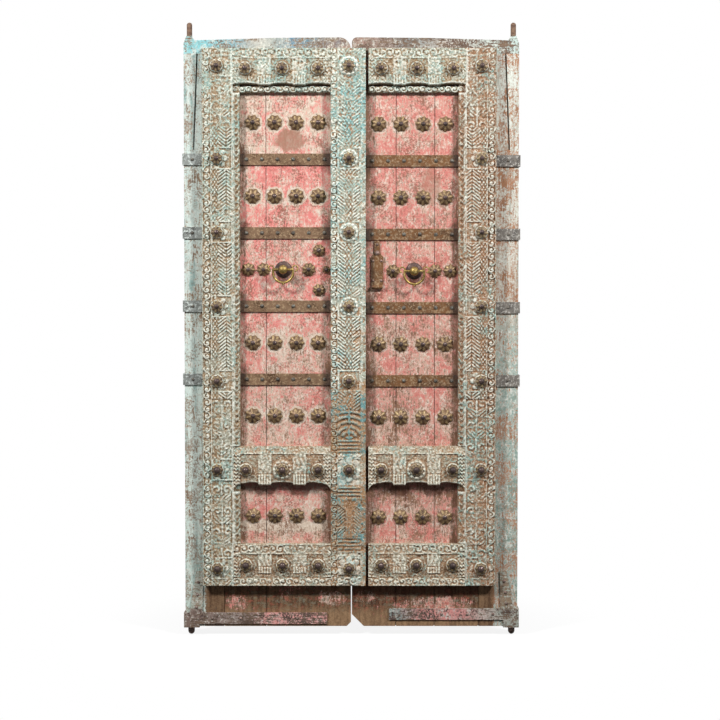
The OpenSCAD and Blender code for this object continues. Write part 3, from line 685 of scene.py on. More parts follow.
def petal_plates(name, places, base, tall, nail, turns, spokes):
    """Petalled plates, each a grid of rings and spokes. The outline has eight pointed petals, the body is a
    dome creased between them, a round nail head stands in the middle, and a flat disc closes the back."""
    radius = places[:, 3][:, None, None]
    reach = np.linspace(0, 1, PETAL_RINGS)[None, :, None]
    angle = np.linspace(0, 2 * np.pi, spokes, endpoint=False)[None, None, :]
    turned = angle + turns[:, None, None]
    leaf = np.abs(np.cos(4 * angle))
    tip = 1 - np.abs(2 * np.mod(angle * 4 / np.pi + 0.5, 1.0) - 1)
    outline = 0.84 + 0.16 * tip**1.2
    r = radius * reach * (1 + (outline - 1) * step(0.25, 1.0, reach))
    crease = (1 - leaf) * step(0.2, 0.9, reach) * step(1.02, 0.9, reach)
    head = nail[0] / radius
    cap = nail[1] * np.sqrt(np.clip(1 - (reach / head) ** 2, 0, 1))
    height = 2.5 + (tall - 2.5) * (1 - reach**2.4) - 1.5 * crease + cap
    x = places[:, 0][:, None, None] + r * np.sin(turned)
    z = places[:, 2][:, None, None] + r * np.cos(turned)
    rim = np.stack([x[:, -1:], np.full_like(x[:, -1:], base), z[:, -1:]], -1)
    centre = np.stack([places[:, 0], np.full(len(places), base), places[:, 2]], -1)
    hub = np.broadcast_to(centre[:, None, None, :], rim.shape)
    sheet = np.concatenate([np.stack([x, base - height, z], -1), rim, hub], axis=1)
    rows = PETAL_RINGS + 2
    starts = np.arange(len(places)) * rows * spokes
    quads = (grid_quads(rows, spokes, wrap=True)[None] + starts[:, None, None]).reshape(-1, 4)
    tone = np.where(reach < head, 1.0, 0.5 + 0.2 * (leaf - 0.6) * step(0.2, 0.6, reach))
    tone = np.concatenate([tone, np.full((len(places), 2, spokes), 0.2)], axis=1)
    return write_piece(name, sheet.reshape(-1, 3), quads, [], tone.ravel(), len(quads))


def add_petal_pieces(side):
    """Bosses on the panels and studs on the frame, each turned a little by its place in the row. The lower
    studs have taller and wider nails."""
    bosses, studs = BOSSES[side], STUDS[side]
    boss_turns = 0.35 * np.sin(np.arange(len(bosses)) * 2.7)
    stud_turns = 0.39 + 0.3 * np.sin(np.arange(len(studs)) * 1.9)
    flat = step(780, 900, studs[:, 2])[:, None, None]
    stud_nail = (12.0 - 3.5 * flat, 11.0 - 5.0 * flat)
    on_panel = petal_plates(f"{side}_boss_petals", bosses, FACE, 12.0, (8.0, 5.5), boss_turns, 48)
    on_frame = petal_plates(f"{side}_stud_petals", studs, FACE - FRAME, 5.5, stud_nail, stud_turns, 40)
    return [(on_panel, f"{side}_bosses"), (on_frame, f"{side}_studs")]


# paints and metals


def tint(code):
    """Linear colour of a six-figure code."""
    srgb = np.array([int(code[i : i + 2], 16) for i in (0, 2, 4)]) / 255
    lin = np.where(srgb <= 0.04045, srgb / 12.92, ((srgb + 0.055) / 1.055) ** 2.4)
    return (*lin, 1.0)


class Recipe:
    """Adds shader nodes to a tree and joins them. A value is a constant, a colour code or a node's socket."""

    def __init__(self, tree):
        self.tree = tree

    def add(self, kind, inputs=None, **settings):
        node = self.tree.nodes.new(kind)
        for key, value in settings.items():
            setattr(node, key, value)
        for key, value in (inputs or {}).items():
            self.feed(node.inputs[key], value)
        return node

    def feed(self, socket, value):
        if isinstance(value, bpy.types.NodeSocket):
            self.tree.links.new(value, socket)
        else:
            socket.default_value = tint(value) if isinstance(value, str) else value

    def math(self, op, a, b=0.0):
        return self.add("ShaderNodeMath", {0: a, 1: b}, operation=op).outputs[0]

    def times(self, first, *others):
        """Product of all values."""
        for value in others:
            first = self.math("MULTIPLY", first, value)
        return first

    def plus(self, a, b):
        return self.math("ADD", a, b)

    def less(self, a, b):
        return self.math("SUBTRACT", a, b)

    def apart(self, a, b):
        """How far two values differ."""
        return self.math("ABSOLUTE", self.less(a, b))

    def length(self, a, b):
        """Root of the sum of two squares."""
        return self.math("SQRT", self.plus(self.times(a, a), self.times(b, b)))

    def folded(self, value, start, pitch):
        """Distance to the nearest of the places that lie a pitch apart from a start."""
        return self.math("PINGPONG", self.less(value, start), pitch / 2)

    def blend(self, *pairs):
        """Sum of values, each times its own weight."""
        total = None
        for value, weight in pairs:
            part = self.times(value, weight)
            total = part if total is None else self.plus(total, part)
        return total

    def mix(self, factor, a, b):
        return self.add("ShaderNodeMix", {0: factor, 6: a, 7: b}, data_type="RGBA").outputs[2]

    def noise(self, vector, scale, detail=4.0, rough=0.6):
        settings = {"Vector": vector, "Scale": scale, "Detail": detail, "Roughness": rough}
        return self.add("ShaderNodeTexNoise", settings).outputs["Fac"]

    def ramp(self, value, low, high, out_low=0.0, out_high=1.0):
        """Smooth step between two values, the other way round where low is above high."""
        settings = {0: value, 1: low, 2: high, 3: out_low, 4: out_high}
        return self.add("ShaderNodeMapRange", settings, interpolation_type="SMOOTHSTEP").outputs[0]

    def over(self, field, share, spread, soft):
        """Mask of the part of a noise field that a share of the surface takes."""
        level = self.less(0.5 + spread / 2, self.times(share, spread))
        return self.ramp(self.less(field, level), -soft, soft)

    def place(self):
        return self.add("ShaderNodeTexCoord").outputs["Object"]

    def xyz(self):
        return self.add("ShaderNodeSeparateXYZ", {0: self.place()}).outputs

    def moved(self, by):
        return self.add("ShaderNodeVectorMath", {0: self.place(), 1: by}).outputs[0]

    def stretched(self, by):
        return self.add("ShaderNodeVectorMath", {0: self.place(), 1: by}, operation="MULTIPLY").outputs[0]

    def carve(self):
        return self.add("ShaderNodeAttribute", attribute_name="carve").outputs["Fac"]

    def near_oval(self, centre, radii, soft=0.35):
        """Mask of a ragged oval on the face, from its middle and half sizes in metres."""
        x, _, z = self.xyz()
        across = self.math("DIVIDE", self.less(x, centre[0]), radii[0])
        up = self.math("DIVIDE", self.less(z, centre[1]), radii[1])
        ragged = self.times(self.noise(self.place(), 22.0, 6.0, 0.8), 2.0)
        return self.ramp(self.plus(self.length(across, up), ragged), 1.95 + soft / 2, 1.95 - soft / 2)


# dark brown-black for soot, cracks and pits, also used for the painted shade in the carving's hollows
SOOT_AND_SHADE = "2a1f18"
FINISH_OUTPUTS = {"Color": "NodeSocketColor", "Roughness": "NodeSocketFloat", "Height": "NodeSocketFloat"}


def new_group(name, inputs):
    """Empty node group with named inputs and the three outputs that every finish gives."""
    group = bpy.data.node_groups.new(name, "ShaderNodeTree")
    kinds = {str: "NodeSocketColor", float: "NodeSocketFloat", tuple: "NodeSocketVector"}
    for label, value in inputs.items():
        socket = group.interface.new_socket(label, in_out="INPUT", socket_type=kinds[type(value)])
        socket.default_value = tint(value) if isinstance(value, str) else value
    for label, kind in FINISH_OUTPUTS.items():
        group.interface.new_socket(label, in_out="OUTPUT", socket_type=kind)
    recipe = Recipe(group)
    source = recipe.add("NodeGroupInput")
    sink = recipe.add("NodeGroupOutput")
    return group, recipe, source.outputs, sink.inputs


def flaking_paint():
    """Paint over an undercoat over grained wood: each layer ends along noise, and goes as its share rises."""
    group, g, take, give = new_group(
        "Flaking paint",
        {
            "Coat": "d98f84",
            "Undercoat": "cdbfa4",
            "Wood": "6d4b35",
            "Undercoat Share": 0.4,
            "Bare Share": 0.3,
            "Mottle": 0.8,
            "Grain": (1.0, 1.0, 0.12),
        },
    )
    place = g.place()
    along = g.stretched(take["Grain"])
    grain = g.noise(along, 90.0, 5.0, 0.65)
    streak = g.noise(along, 200.0, 4.0, 0.75)
    broad = g.noise(place, 8.0, 3.0, 0.55)
    patch = g.noise(place, 36.0, 6.0, 0.75)
    speck = g.noise(place, 120.0, 4.0, 0.8)
    fine = g.noise(place, 240.0, 3.0, 0.7)
    bare_field = g.blend((broad, 0.2), (patch, 0.2), (streak, 0.3), (speck, 0.3))
    bare = g.over(bare_field, take["Bare Share"], 0.28, 0.025)
    worn_field = g.blend((broad, 0.2), (patch, 0.15), (streak, 0.3), (speck, 0.35))
    worn = g.over(worn_field, take["Undercoat Share"], 0.28, 0.05)
    coat = g.mix(g.ramp(patch, 0.4, 0.65, 0.0, 0.35), take["Coat"], take["Undercoat"])
    elsewhere = g.moved((2.3, 4.1, 1.9))
    mottle = g.blend((g.noise(g.stretched((1.0, 1.0, 0.6)), 135.0, 3.0, 0.75), 1.0), (patch, 0.6))
    spots = g.blend((g.noise(elsewhere, 150.0, 3.0, 0.75), 1.0), (g.noise(elsewhere, 17.0, 4.0, 0.6), 0.7))
    pale = g.times(g.ramp(mottle, 0.82, 0.95, 0.0, 0.9), take["Mottle"])
    brown = g.times(g.ramp(spots, 0.88, 0.98), take["Mottle"])
    deep = g.times(g.ramp(mottle, 0.74, 0.62), take["Mottle"])
    coat = g.mix(deep, coat, g.mix(0.45, take["Coat"], take["Wood"]))
    coat = g.mix(pale, coat, g.mix(0.3, take["Undercoat"], "f4efe6"))
    coat = g.mix(brown, coat, take["Wood"])
    under = g.mix(g.times(brown, 0.8), take["Undercoat"], take["Wood"])
    under = g.mix(g.times(pale, 0.5), under, "f1ebe0")
    colour = g.mix(worn, coat, under)
    dark_grain, pale_grain = g.mix(0.4, take["Wood"], SOOT_AND_SHADE), g.mix(0.22, take["Wood"], "b79a78")
    wood = g.mix(g.ramp(g.blend((grain, 0.5), (speck, 0.5)), 0.4, 0.6), dark_grain, pale_grain)
    colour = g.mix(bare, colour, wood)
    crack = g.ramp(g.noise(along, 150.0, 3.0, 0.5), 0.33, 0.27)
    pit = g.ramp(speck, 0.62, 0.7)
    colour = g.mix(g.times(pit, 0.6), colour, g.mix(0.5, take["Wood"], SOOT_AND_SHADE))
    colour = g.mix(g.times(crack, 0.8), colour, SOOT_AND_SHADE)
    g.feed(give["Color"], colour)
    g.feed(give["Roughness"], g.ramp(bare, 0.0, 1.0, 0.62, 0.82))
    height = g.blend((bare, -0.4), (grain, 0.5), (streak, 0.5), (fine, 0.35), (crack, -0.9), (pit, -0.5))
    g.feed(give["Height"], height)
    return group


def carved_paint():
    """Many thin coats on carving: pale on the crests, partly worn paint and partly a painted highlight, dark
    brown in the hollows, partly dirt and partly painted shade, flecked with older coats.
    """
    group, g, take, give = new_group(
        "Carved paint",
        {
            "Crest": "d9d6c6",
            "Ground": "a59f8b",
            "Tint": "6fa7a2",
            "Wood": "8a6242",
            "Tint Share": 0.3,
            "Wood Share": 0.4,
        },
    )
    place = g.place()
    broad = g.noise(place, 11.0, 4.0, 0.6)
    patch = g.noise(place, 32.0, 5.0, 0.7)
    speck = g.noise(place, 115.0, 4.0, 0.8)
    other = g.noise(g.moved((3.1, 1.7, 5.3)), 120.0, 4.0, 0.8)
    fine = g.noise(place, 230.0, 3.0, 0.75)
    worn = g.blend((g.carve(), 1.4), (speck, 1.1), (fine, 0.4), (patch, 0.3))
    # crest: the raised carving is paler, partly worn paint and partly a painted highlight
    crest = g.ramp(worn, 1.6, 1.86)
    hollow = g.ramp(worn, 1.58, 1.3)
    dark = g.mix(0.55, take["Wood"], SOOT_AND_SHADE)
    colour = g.mix(crest, take["Ground"], take["Crest"])
    tinted = g.over(g.blend((broad, 0.45), (other, 0.55)), take["Tint Share"], 0.36, 0.04)
    tint_coat = g.mix(g.times(crest, 0.45), take["Tint"], take["Crest"])
    colour = g.mix(g.times(tinted, 0.85), colour, tint_coat)
    woody = g.over(g.blend((patch, 0.5), (speck, 0.5), (hollow, 0.08)), take["Wood Share"], 0.36, 0.04)
    woody = g.times(woody, g.ramp(crest, 0.0, 1.0, 0.8, 0.35))
    colour = g.mix(woody, colour, take["Wood"])
    # painted shade with dirt: the hollows of the carving are darkened
    colour = g.mix(g.times(hollow, 0.68), colour, dark)
    colour = g.mix(g.ramp(other, 0.62, 0.7, 0.0, 0.7), colour, SOOT_AND_SHADE)
    colour = g.mix(g.ramp(fine, 0.57, 0.66, 0.0, 0.6), colour, "f1eee4")
    colour = g.mix(g.ramp(fine, 0.43, 0.35, 0.0, 0.5), colour, dark)
    g.feed(give["Color"], colour)
    g.feed(give["Roughness"], g.ramp(speck, 0.3, 0.7, 0.62, 0.85))
    g.feed(give["Height"], g.blend((speck, 0.8), (fine, 0.5), (woody, -0.25)))
    return group


def old_metal():
    """Aged metal: a base that tarnishes in patches and is rubbed brighter in spots and on its crests."""
    group, g, take, give = new_group(
        "Old metal",
        {
            "Base": "6b5138",
            "Patina": "3a2b22",
            "Rub": "a58a5c",
            "Patina Share": 0.5,
            "Rub Share": 0.3,
            "Crest": 0.0,
        },
    )
    place = g.place()
    broad = g.noise(place, 22.0, 5.0, 0.7)
    speck = g.noise(place, 130.0, 4.0, 0.75)
    fine = g.noise(place, 380.0, 3.0, 0.7)
    stained = g.over(g.blend((broad, 0.55), (speck, 0.45)), take["Patina Share"], 0.34, 0.06)
    rub_field = g.blend((speck, 0.7), (fine, 0.3), (take["Crest"], 0.5))
    rubbed = g.over(rub_field, take["Rub Share"], 0.36, 0.06)
    colour = g.mix(stained, take["Base"], take["Patina"])
    colour = g.mix(rubbed, colour, take["Rub"])
    colour = g.mix(g.ramp(fine, 0.57, 0.7, 0.0, 0.6), colour, SOOT_AND_SHADE)
    g.feed(give["Color"], colour)
    g.feed(give["Roughness"], g.ramp(stained, 0.0, 1.0, 0.42, 0.7))
    g.feed(give["Height"], g.blend((broad, 0.5), (speck, 0.5), (fine, 0.4)))
    return group


GROUPS = {"plank": flaking_paint(), "carved": carved_paint(), "metal": old_metal()}


class Finish(Recipe):
    """Material with one finish group in front of its Principled shader. Values set the group's own inputs."""

    def __init__(self, name, kind, bump, depth, metal=0.0, **values):
        self.material = bpy.data.materials.new(name)
        self.material.use_nodes = True
        super().__init__(self.material.node_tree)
        self.shader = self.tree.nodes["Principled BSDF"].inputs
        self.group = self.add("ShaderNodeGroup", node_tree=GROUPS[kind])
        for label, value in values.items():
            self.set(label.replace("_", " "), value)
        out = self.group.outputs
        lift = self.add("ShaderNodeBump", {"Strength": bump, "Distance": depth, "Height": out["Height"]})
        self.feed(self.shader["Metallic"], metal)
        self.feed(self.shader["Specular IOR Level"], 0.3)
        self.feed(self.shader["Base Color"], out["Color"])
        self.feed(self.shader["Roughness"], out["Roughness"])
        self.feed(self.shader["Normal"], lift.outputs["Normal"])

    def set(self, label, value):
        """Gives one of the group's inputs a value."""
        self.feed(self.group.inputs[label], value)


# finishes of this pair, with places in metres

PAIR_MIDDLE = 0.5375
ACROSS = (0.12, 1.0, 1.0)
UPRIGHT = (1.0, 1.0, 0.08)
MAIN_BOSS = 26

PANEL_PAINT = {
    "left": {
        "coat": "d67c76",
        "halo": 0.55,
        "cream_row": 0.16,
        "cream_foot": 0.45,
        "low_bare": 0.06,
        "bare": 0.36,
        "foot_wood_and_shade": "50331d",
        "foot_shade": 0.2,
        "foot_pink": (((0.47, 0.10), (0.05, 0.03)), ((0.155, 0.085), (0.04, 0.03))),
        "patch": ((0.340, 1.627), (0.054, 0.038)),
        "patch_share": 1.0,
    },
    "right": {
        "coat": "c8776e",
        "halo": 0.15,
        "cream_row": 0.04,
        "cream_foot": 0.0,
        "low_bare": 0.1,
        "bare": 0.42,
        "foot_wood_and_shade": "421a02",
        "foot_shade": 0.5,
        "foot_pink": (((0.575, 0.107), (0.04, 0.025)), ((0.83, 0.08), (0.15, 0.026))),
        "patch": ((0.80, 1.475), (0.030, 0.060)),
        "patch_share": 0.6,
    },
}


def coat_bands(f, axis, low, high, stops):
    """Colours along an axis with ragged borders, from stops of share and colour, the two ends first."""
    along = f.blend((f.ramp(f.xyz()[axis], low, high), 1.0), (f.noise(f.place(), 30.0, 5.0, 0.7), 0.3))
    bands = f.add("ShaderNodeValToRGB", {0: f.less(along, 0.15)})
    points = bands.color_ramp.elements
    for k, (share, colour) in enumerate(stops):
        point = points[k] if k < 2 else points.new(share)
        point.position, point.color = share, tint(colour)
    return bands.outputs[0]


def panel_coats(f, side, edge, foot, lower, rear):
    """Shares and colours of the panel paint: a thin pale edge round the bosses, cream in the top row and
    under the lowest bosses, barer and browner below, brown wood with some pink left at the foot."""
    paint = PANEL_PAINT[side]
    x, _, z = f.xyz()
    rough, ragged = f.noise(f.place(), 60.0), f.noise(f.place(), 14.0)
    bosses = BOSSES[side][BOSSES[side][:, 3] > MAIN_BOSS] * MM
    first, last = bosses[:, 0].min(), bosses[:, 0].max()
    levels = np.unique(np.round(bosses[:, 2], 4))
    across = f.folded(x, first, (last - first) / 3)
    up = f.folded(z, levels[-1], levels[-1] - levels[-2])
    full_rows = f.times(f.ramp(z, 0.6, 0.65), f.ramp(f.apart(z, 1.2), 0.06, 0.07))
    to_boss = f.blend((f.length(across, up), 1.0), (rough, 0.02))
    halo = f.times(f.ramp(to_boss, 0.0435, 0.0395), full_rows)
    under_bosses = f.blend((f.apart(z, levels[0] - 0.035), 1.0), (rough, 0.04))
    cream_foot = f.ramp(under_bosses, 0.042, 0.03)
    top = f.ramp(z, 1.56, 1.6)
    pale = f.blend((halo, paint["halo"]), (edge, 0.1), (top, paint["cream_row"]), (lower, 0.1), (ragged, 0.5))
    f.set("Undercoat Share", f.plus(f.plus(pale, f.times(cream_foot, paint["cream_foot"])), 0.12))
    pink = f.times(foot, f.math("MAXIMUM", *(f.near_oval(*spot) for spot in paint["foot_pink"])))
    # more bare wood along the panel's sides, partly wear and partly painted shade by the frame
    worn = f.blend((edge, 0.2), (foot, 0.4), (pink, -0.38), (lower, paint["low_bare"]))
    worn = f.plus(worn, f.blend((ragged, -0.2), (rear, 0.3)))
    f.set("Bare Share", f.plus(worn, paint["bare"]))
    f.set("Coat", f.mix(f.times(lower, 0.5), paint["coat"], "c4796e"))
    # wood at the foot is darker towards the foot rail, partly painted shade, with lighter bare wood at the
    # bottom
    foot_wood_and_shade = f.mix(f.ramp(z, 0.085, 0.045), paint["foot_wood_and_shade"], "8b6b4d")
    f.set("Wood", f.mix(foot, "7f5644", foot_wood_and_shade))


def band_stain(f, side, aside, half):
    """Mask of the rust at the ends of the iron bands, from the distances along and across a band added up."""
    z = f.xyz()[2]
    top, next_one = (row * MM for row in BAND_ROWS[side][:2])
    to_end = f.plus(f.folded(z, top, top - next_one), f.less(half - 0.002, aside))
    ragged = f.blend((to_end, 1.0), (f.noise(f.place(), 60.0), 0.04))
    return f.times(f.ramp(ragged, 0.082, 0.055), f.ramp(z, 0.7, 0.75))


def foot_flecks_and_shadow(f, side, colour, front_foot):
    """Grey and red flecks of older paint on the foot of the boards, and a painted shadow under the foot rail.
    """
    z = f.xyz()[2]
    flecks = f.noise(f.stretched((0.6, 1.0, 1.0)), 60.0, 6.0, 0.88)
    painted = f.times(front_foot, f.ramp(z, 0.04, 0.075), f.ramp(z, 0.135, 0.1, 0.4, 1.0))
    colour = f.mix(f.times(painted, f.ramp(flecks, 0.53, 0.6, 0.0, 0.55)), colour, "7d7d6c")
    colour = f.mix(f.times(painted, f.ramp(flecks, 0.46, 0.4, 0.0, 0.6)), colour, "a05544")
    rail = corner_box(f"{side}_foot_rail")[0][2] * MM
    reach = f.blend((z, 1.0), (f.noise(f.place(), 14.0), 0.02))
    # painted shadow under the foot rail
    shade = f.times(front_foot, f.ramp(reach, rail - 0.037, rail - 0.012), PANEL_PAINT[side]["foot_shade"])
    return f.mix(shade, colour, "3a1a06")


def rail_soot_and_shadow(f, side):
    """Mask of the soot and the painted shadow under the middle rail, which reaches further down under its two
    corbels.
    """
    x, _, z = f.xyz()
    low, high = corner_box(f"{side}_mid_rail")
    start, end = (low[0], high[0]) if side == "left" else (high[0], low[0])
    reach = f.blend((z, 1.0), (f.noise(f.place(), 14.0), 0.03))
    for a, b in CORBELS:
        corbel_x = (start + (end - start) * (a + b) / 2) * MM
        reach = f.plus(reach, f.times(f.ramp(f.apart(x, corbel_x), 0.042, 0.02), 0.026))
    under = low[2] * MM
    return f.times(f.ramp(reach, under + 0.017, under + 0.029), f.ramp(z, under + 0.05, under + 0.04))


def brown_patch(f, side):
    """Mask of the brown patch in the upper part of a panel, with faint grain."""
    grain = f.ramp(f.noise(f.stretched((1.0, 1.0, 0.2)), 120.0, 3.0), 0.3, 0.6, 1.0, 0.8)
    return f.times(f.near_oval(*PANEL_PAINT[side]["patch"]), PANEL_PAINT[side]["patch_share"], grain)


def panel_finish(side):
    """Salmon paint of the panels: rust by the bands, flecks and a painted shadow at the foot, soot with a
    painted shadow under the middle rail, and a brown patch in front.
    """
    f = Finish(f"Panel pink {side}", "plank", 0.5, 0.0012, Undercoat="ccb9a6", Mottle=0.85)
    x, y, z = f.xyz()
    low, high = (end * MM for end in PANEL[side])
    aside, half = f.apart(x, (low + high) / 2), (high - low) / 2
    # sides of the panel next to the frame: wear and painted shade
    edge = f.ramp(aside, half - 0.03, half)
    foot, lower = f.ramp(z, 0.165, 0.145), f.ramp(z, 1.06, 0.96)
    rear = f.ramp(y, 0.0, 0.012)
    front = f.ramp(rear, 1.0, 0.0)
    panel_coats(f, side, edge, foot, lower, rear)
    stain = f.times(band_stain(f, side, aside, half), front, 0.6)
    colour = f.mix(stain, f.group.outputs["Color"], "5a4034")
    colour = foot_flecks_and_shadow(f, side, colour, f.times(foot, front))
    # soot and painted shadow under the middle rail
    colour = f.mix(f.times(rail_soot_and_shadow(f, side), front, 0.72), colour, "4a2a1c")
    colour = f.mix(f.times(brown_patch(f, side), front), colour, "98705c")
    f.feed(f.shader["Base Color"], colour)
    return f


# for each hinge board: undercoat and its share, mottle, colour of the runs, coat from the foot to the top
HINGE_BOARDS = {
    "Edge pale blue": (
        ("c3cac2", 0.45, 0.8, "6f938f"),
        ((0.0, "c2d4cb"), (1.0, "c0cec8"), (0.3, "cad9d2"), (0.55, "bccbc5")),
    ),
    "Edge worn beige": (
        ("c9cfc7", 0.42, 0.9, "7d7f72"),
        ((0.0, "6f877e"), (1.0, "cdd3c9"), (0.42, "8ba198"), (0.58, "c3bcae")),
    ),
}


def hinge_board_finish(name):
    """Pale coat in bands up the board, with long darker runs down it."""
    (undercoat, share, mottle, dark), stops = HINGE_BOARDS[name]
    f = Finish(name, "plank", 0.45, 0.001, Undercoat=undercoat, Undercoat_Share=share, Mottle=mottle)
    f.set("Grain", UPRIGHT)
    runs = f.noise(f.stretched((1.0, 1.0, 0.07)), 42.0, 4.0, 0.6)
    coat = coat_bands(f, 2, 0.0, 2.0, stops)
    f.set("Coat", f.mix(f.ramp(runs, 0.5, 0.62, 0.0, 0.8), coat, dark))
    return f


def brown_foot(f, start, end, share, wood):
    """Below the carved frame a hinge board is bare brown wood from its inner edge to the end place."""
    x, _, z = f.xyz()
    low = f.times(f.ramp(z, 0.165, 0.15), f.ramp(x, start, end))
    f.set("Bare Share", f.plus(f.times(low, 0.5), share))
    f.set("Wood", f.mix(low, wood, "63462f"))
    return f


# for each top rail: bare wood and its share, ends of the coat's bands, coat from left to right
TOP_RAILS = {
    "left": (
        ("6b5647", 0.36, -0.02, 0.536),
        (
            (0.0, "7cc0c4"),
            (1.0, "8d6c5d"),
            (0.18, "72a9b6"),
            (0.3, "7f9296"),
            (0.42, "bcb9af"),
            (0.58, "98a09a"),
            (0.72, "517e96"),
            (0.86, "5f7e8c"),
        ),
    ),
    "right": (
        ("5d493f", 0.46, 0.54, 1.095),
        ((0.0, "957668"), (1.0, "bccfc8"), (0.3, "7d8586"), (0.6, "b9afa4")),
    ),
}


def top_rail_finish(side):
    """Turquoise to cream along the rail, bare brown wood on its peg."""
    (wood, bare, low, high), stops = TOP_RAILS[side]
    name = f"Top rail {side}"
    f = Finish(name, "plank", 0.45, 0.001, Undercoat="bcbcb1", Undercoat_Share=0.36, Mottle=1.0, Grain=ACROSS)
    peg = f.ramp(f.xyz()[2], 1.972, 1.98)
    f.set("Coat", f.mix(peg, coat_bands(f, 0, low, high, stops), "7d6357"))
    f.set("Wood", f.mix(peg, wood, "6f5549"))
    f.set("Bare Share", f.ramp(peg, 0.0, 1.0, bare, 0.8))
    return f


# for each strap: undercoat and its share, bare share, ends of the coat's bands, coat from left to right
STRAPS = {
    "left": (
        ("c1bbb1", 0.36, 0.46, 0.0, 0.43),
        ((0.0, "7a655c"), (1.0, "dc9a94"), (0.3, "9a8a84"), (0.45, "a98a84"), (0.6, "d8948e")),
    ),
    "right": (
        ("a9a49b", 0.38, 0.45, 0.64, 1.08),
        ((0.0, "6f8f8b"), (1.0, "9fa69c"), (0.1, "a58c88"), (0.2, "ce837c"), (0.7, "c48580")),
    ),
}


def strap_finish(side):
    """Old pink and grey paint along the corner iron, paler on its leg up the hinge board."""
    (undercoat, share, bare, low, high), stops = STRAPS[side]
    f = Finish(f"Strap {side}", "plank", 0.5, 0.001, Undercoat=undercoat, Undercoat_Share=share, Grain=ACROSS)
    f.set("Bare Share", bare)
    f.set("Mottle", 1.0)
    leg = f.ramp(f.xyz()[2], 0.062, 0.07)
    f.set("Coat", f.mix(leg, coat_bands(f, 0, low, high, stops), "a3ab9f"))
    f.set("Wood", f.mix(leg, "4d3d38", "7d6b5a"))
    return f


def ledge_finish():
    """Bare brown wood with traces of a thin coat."""
    f = Finish("Bare wood", "plank", 0.4, 0.001, Coat="8a7058", Undercoat="7c6550", Wood="7a5a40")
    f.set("Grain", ACROSS)
    f.set("Bare Share", 0.9)
    return f


def carving_finish(name, crest, ground, tinted, wood, tint_share, wood_share):
    """Carved paint from its four colours and two shares."""
    f = Finish(name, "carved", 0.5, 0.001, Crest=crest, Ground=ground, Tint=tinted, Wood=wood)
    f.set("Tint Share", tint_share)
    f.set("Wood Share", wood_share)
    return f


def right_stile_finish():
    """Browner carving, with more of its tint left low down."""
    f = carving_finish("Carving brown", "d5d5c9", "968e7c", "769f98", "9a6c48", 0.3, 0.47)
    f.set("Tint Share", f.ramp(f.xyz()[2], 0.7, 1.4, 0.48, 0.34))
    return f


def post_finish():
    """Turquoise carving, browner and bluer in its lower half apart from the two flower squares, with a goblet
    of bare wood and blue leaves beside it."""
    f = Finish("Carving turquoise", "carved", 0.5, 0.001, Wood="a87648")
    z = f.xyz()[2]
    on_post = STUDS["left"][STUDS["left"][:, 0] > PANEL["left"][1]]
    stud_z = np.sort(on_post[:, 2])[1] * MM
    middle = (corner_box("centre_post")[0][0] + POST_MIDDLE) * MM
    off_flowers = f.times(f.ramp(f.apart(z, stud_z), 0.05, 0.058), f.ramp(z, stud_z - 0.277, stud_z - 0.27))
    down = f.times(f.ramp(z, 0.84, 0.72), f.ramp(off_flowers, 0.0, 1.0, 0.25, 1.0))
    f.set("Crest", f.mix(down, "e0e1d5", "aca189"))
    f.set("Ground", f.mix(down, "a5aa9a", "8f8468"))
    f.set("Tint", f.mix(down, "66a7a8", "4b8d93"))
    cup = f.near_oval((middle, stud_z - 0.15), (0.024, 0.06), 0.6)
    beside = f.less(f.near_oval((middle, stud_z - 0.16), (0.05, 0.07), 0.6), cup)
    f.set("Wood Share", f.blend((f.ramp(z, 0.6, 1.2, 0.52, 0.32), 1.0), (cup, 0.24)))
    f.set("Tint Share", f.blend((f.ramp(down, 0.0, 1.0, 0.38, 0.6), 1.0), (beside, 0.3)))
    return f


def metal_finish(name, colours, shares, bump, depth, metal):
    """Old metal from its base, patina and rub colours and the shares of the last two."""
    f = Finish(name, "metal", bump, depth, metal, Patina_Share=shares[0], Rub_Share=shares[1])
    for label, colour in zip(("Base", "Patina", "Rub"), colours):
        f.set(label, colour)
    return f


def band_finish():
    """Brown iron in the panels, darker by the frame with stain and painted shade, and grey paint on the ends
    beyond the stiles.
    """
    f = Finish("Iron bands", "metal", 0.5, 0.0008, 0.15, Patina_Share=0.46, Rub_Share=0.38)
    x = f.xyz()[0]
    outer = f.ramp(f.apart(x, PAIR_MIDDLE), 0.44, 0.47)
    inner = f.ramp(outer, 1.0, 0.0)
    right = f.ramp(x, 0.5, 0.55)
    base = f.mix(outer, f.mix(right, "7d624b", "734f31"), f.mix(right, "868a86", "77716a"))
    rub = f.mix(outer, "a58b6d", f.mix(right, "cad2cd", "bdb9b1"))
    for low, high in PANEL.values():
        half = (high - low) * MM / 2
        off = f.apart(x, (low + high) * MM / 2)
        near = f.times(f.ramp(off, half - 0.035, half - 0.01), f.ramp(off, half + 0.03, half + 0.02))
        # darker iron where the band meets the frame: stain and painted shade
        by_frame_stain_and_shade = f.times(near, inner)
        base = f.mix(by_frame_stain_and_shade, base, "4a3a32")
        rub = f.mix(by_frame_stain_and_shade, rub, "6b5748")
    f.set("Base", base)
    f.set("Rub", rub)
    f.set("Patina", f.mix(outer, "4a3220", "3e3a38"))
    return f


def petal_finish(name, rim, body, dark):
    """Patinated petals, brighter along their crests, with a dark smooth nail in the middle."""
    f = Finish(name, "metal", 0.6, 0.0008, 0.3, Rub=rim, Patina_Share=0.42, Rub_Share=0.36)
    carve = f.carve()
    nail = f.ramp(carve, 0.8, 0.95)
    f.set("Crest", f.less(f.ramp(carve, 0.36, 0.6, -0.2, 0.1), f.times(nail, 0.3)))
    f.set("Base", f.mix(nail, body, "5a4a46"))
    f.set("Patina", f.mix(nail, dark, "352b2a"))
    f.feed(f.shader["Roughness"], f.less(f.group.outputs["Roughness"], f.times(nail, 0.2)))
    return f


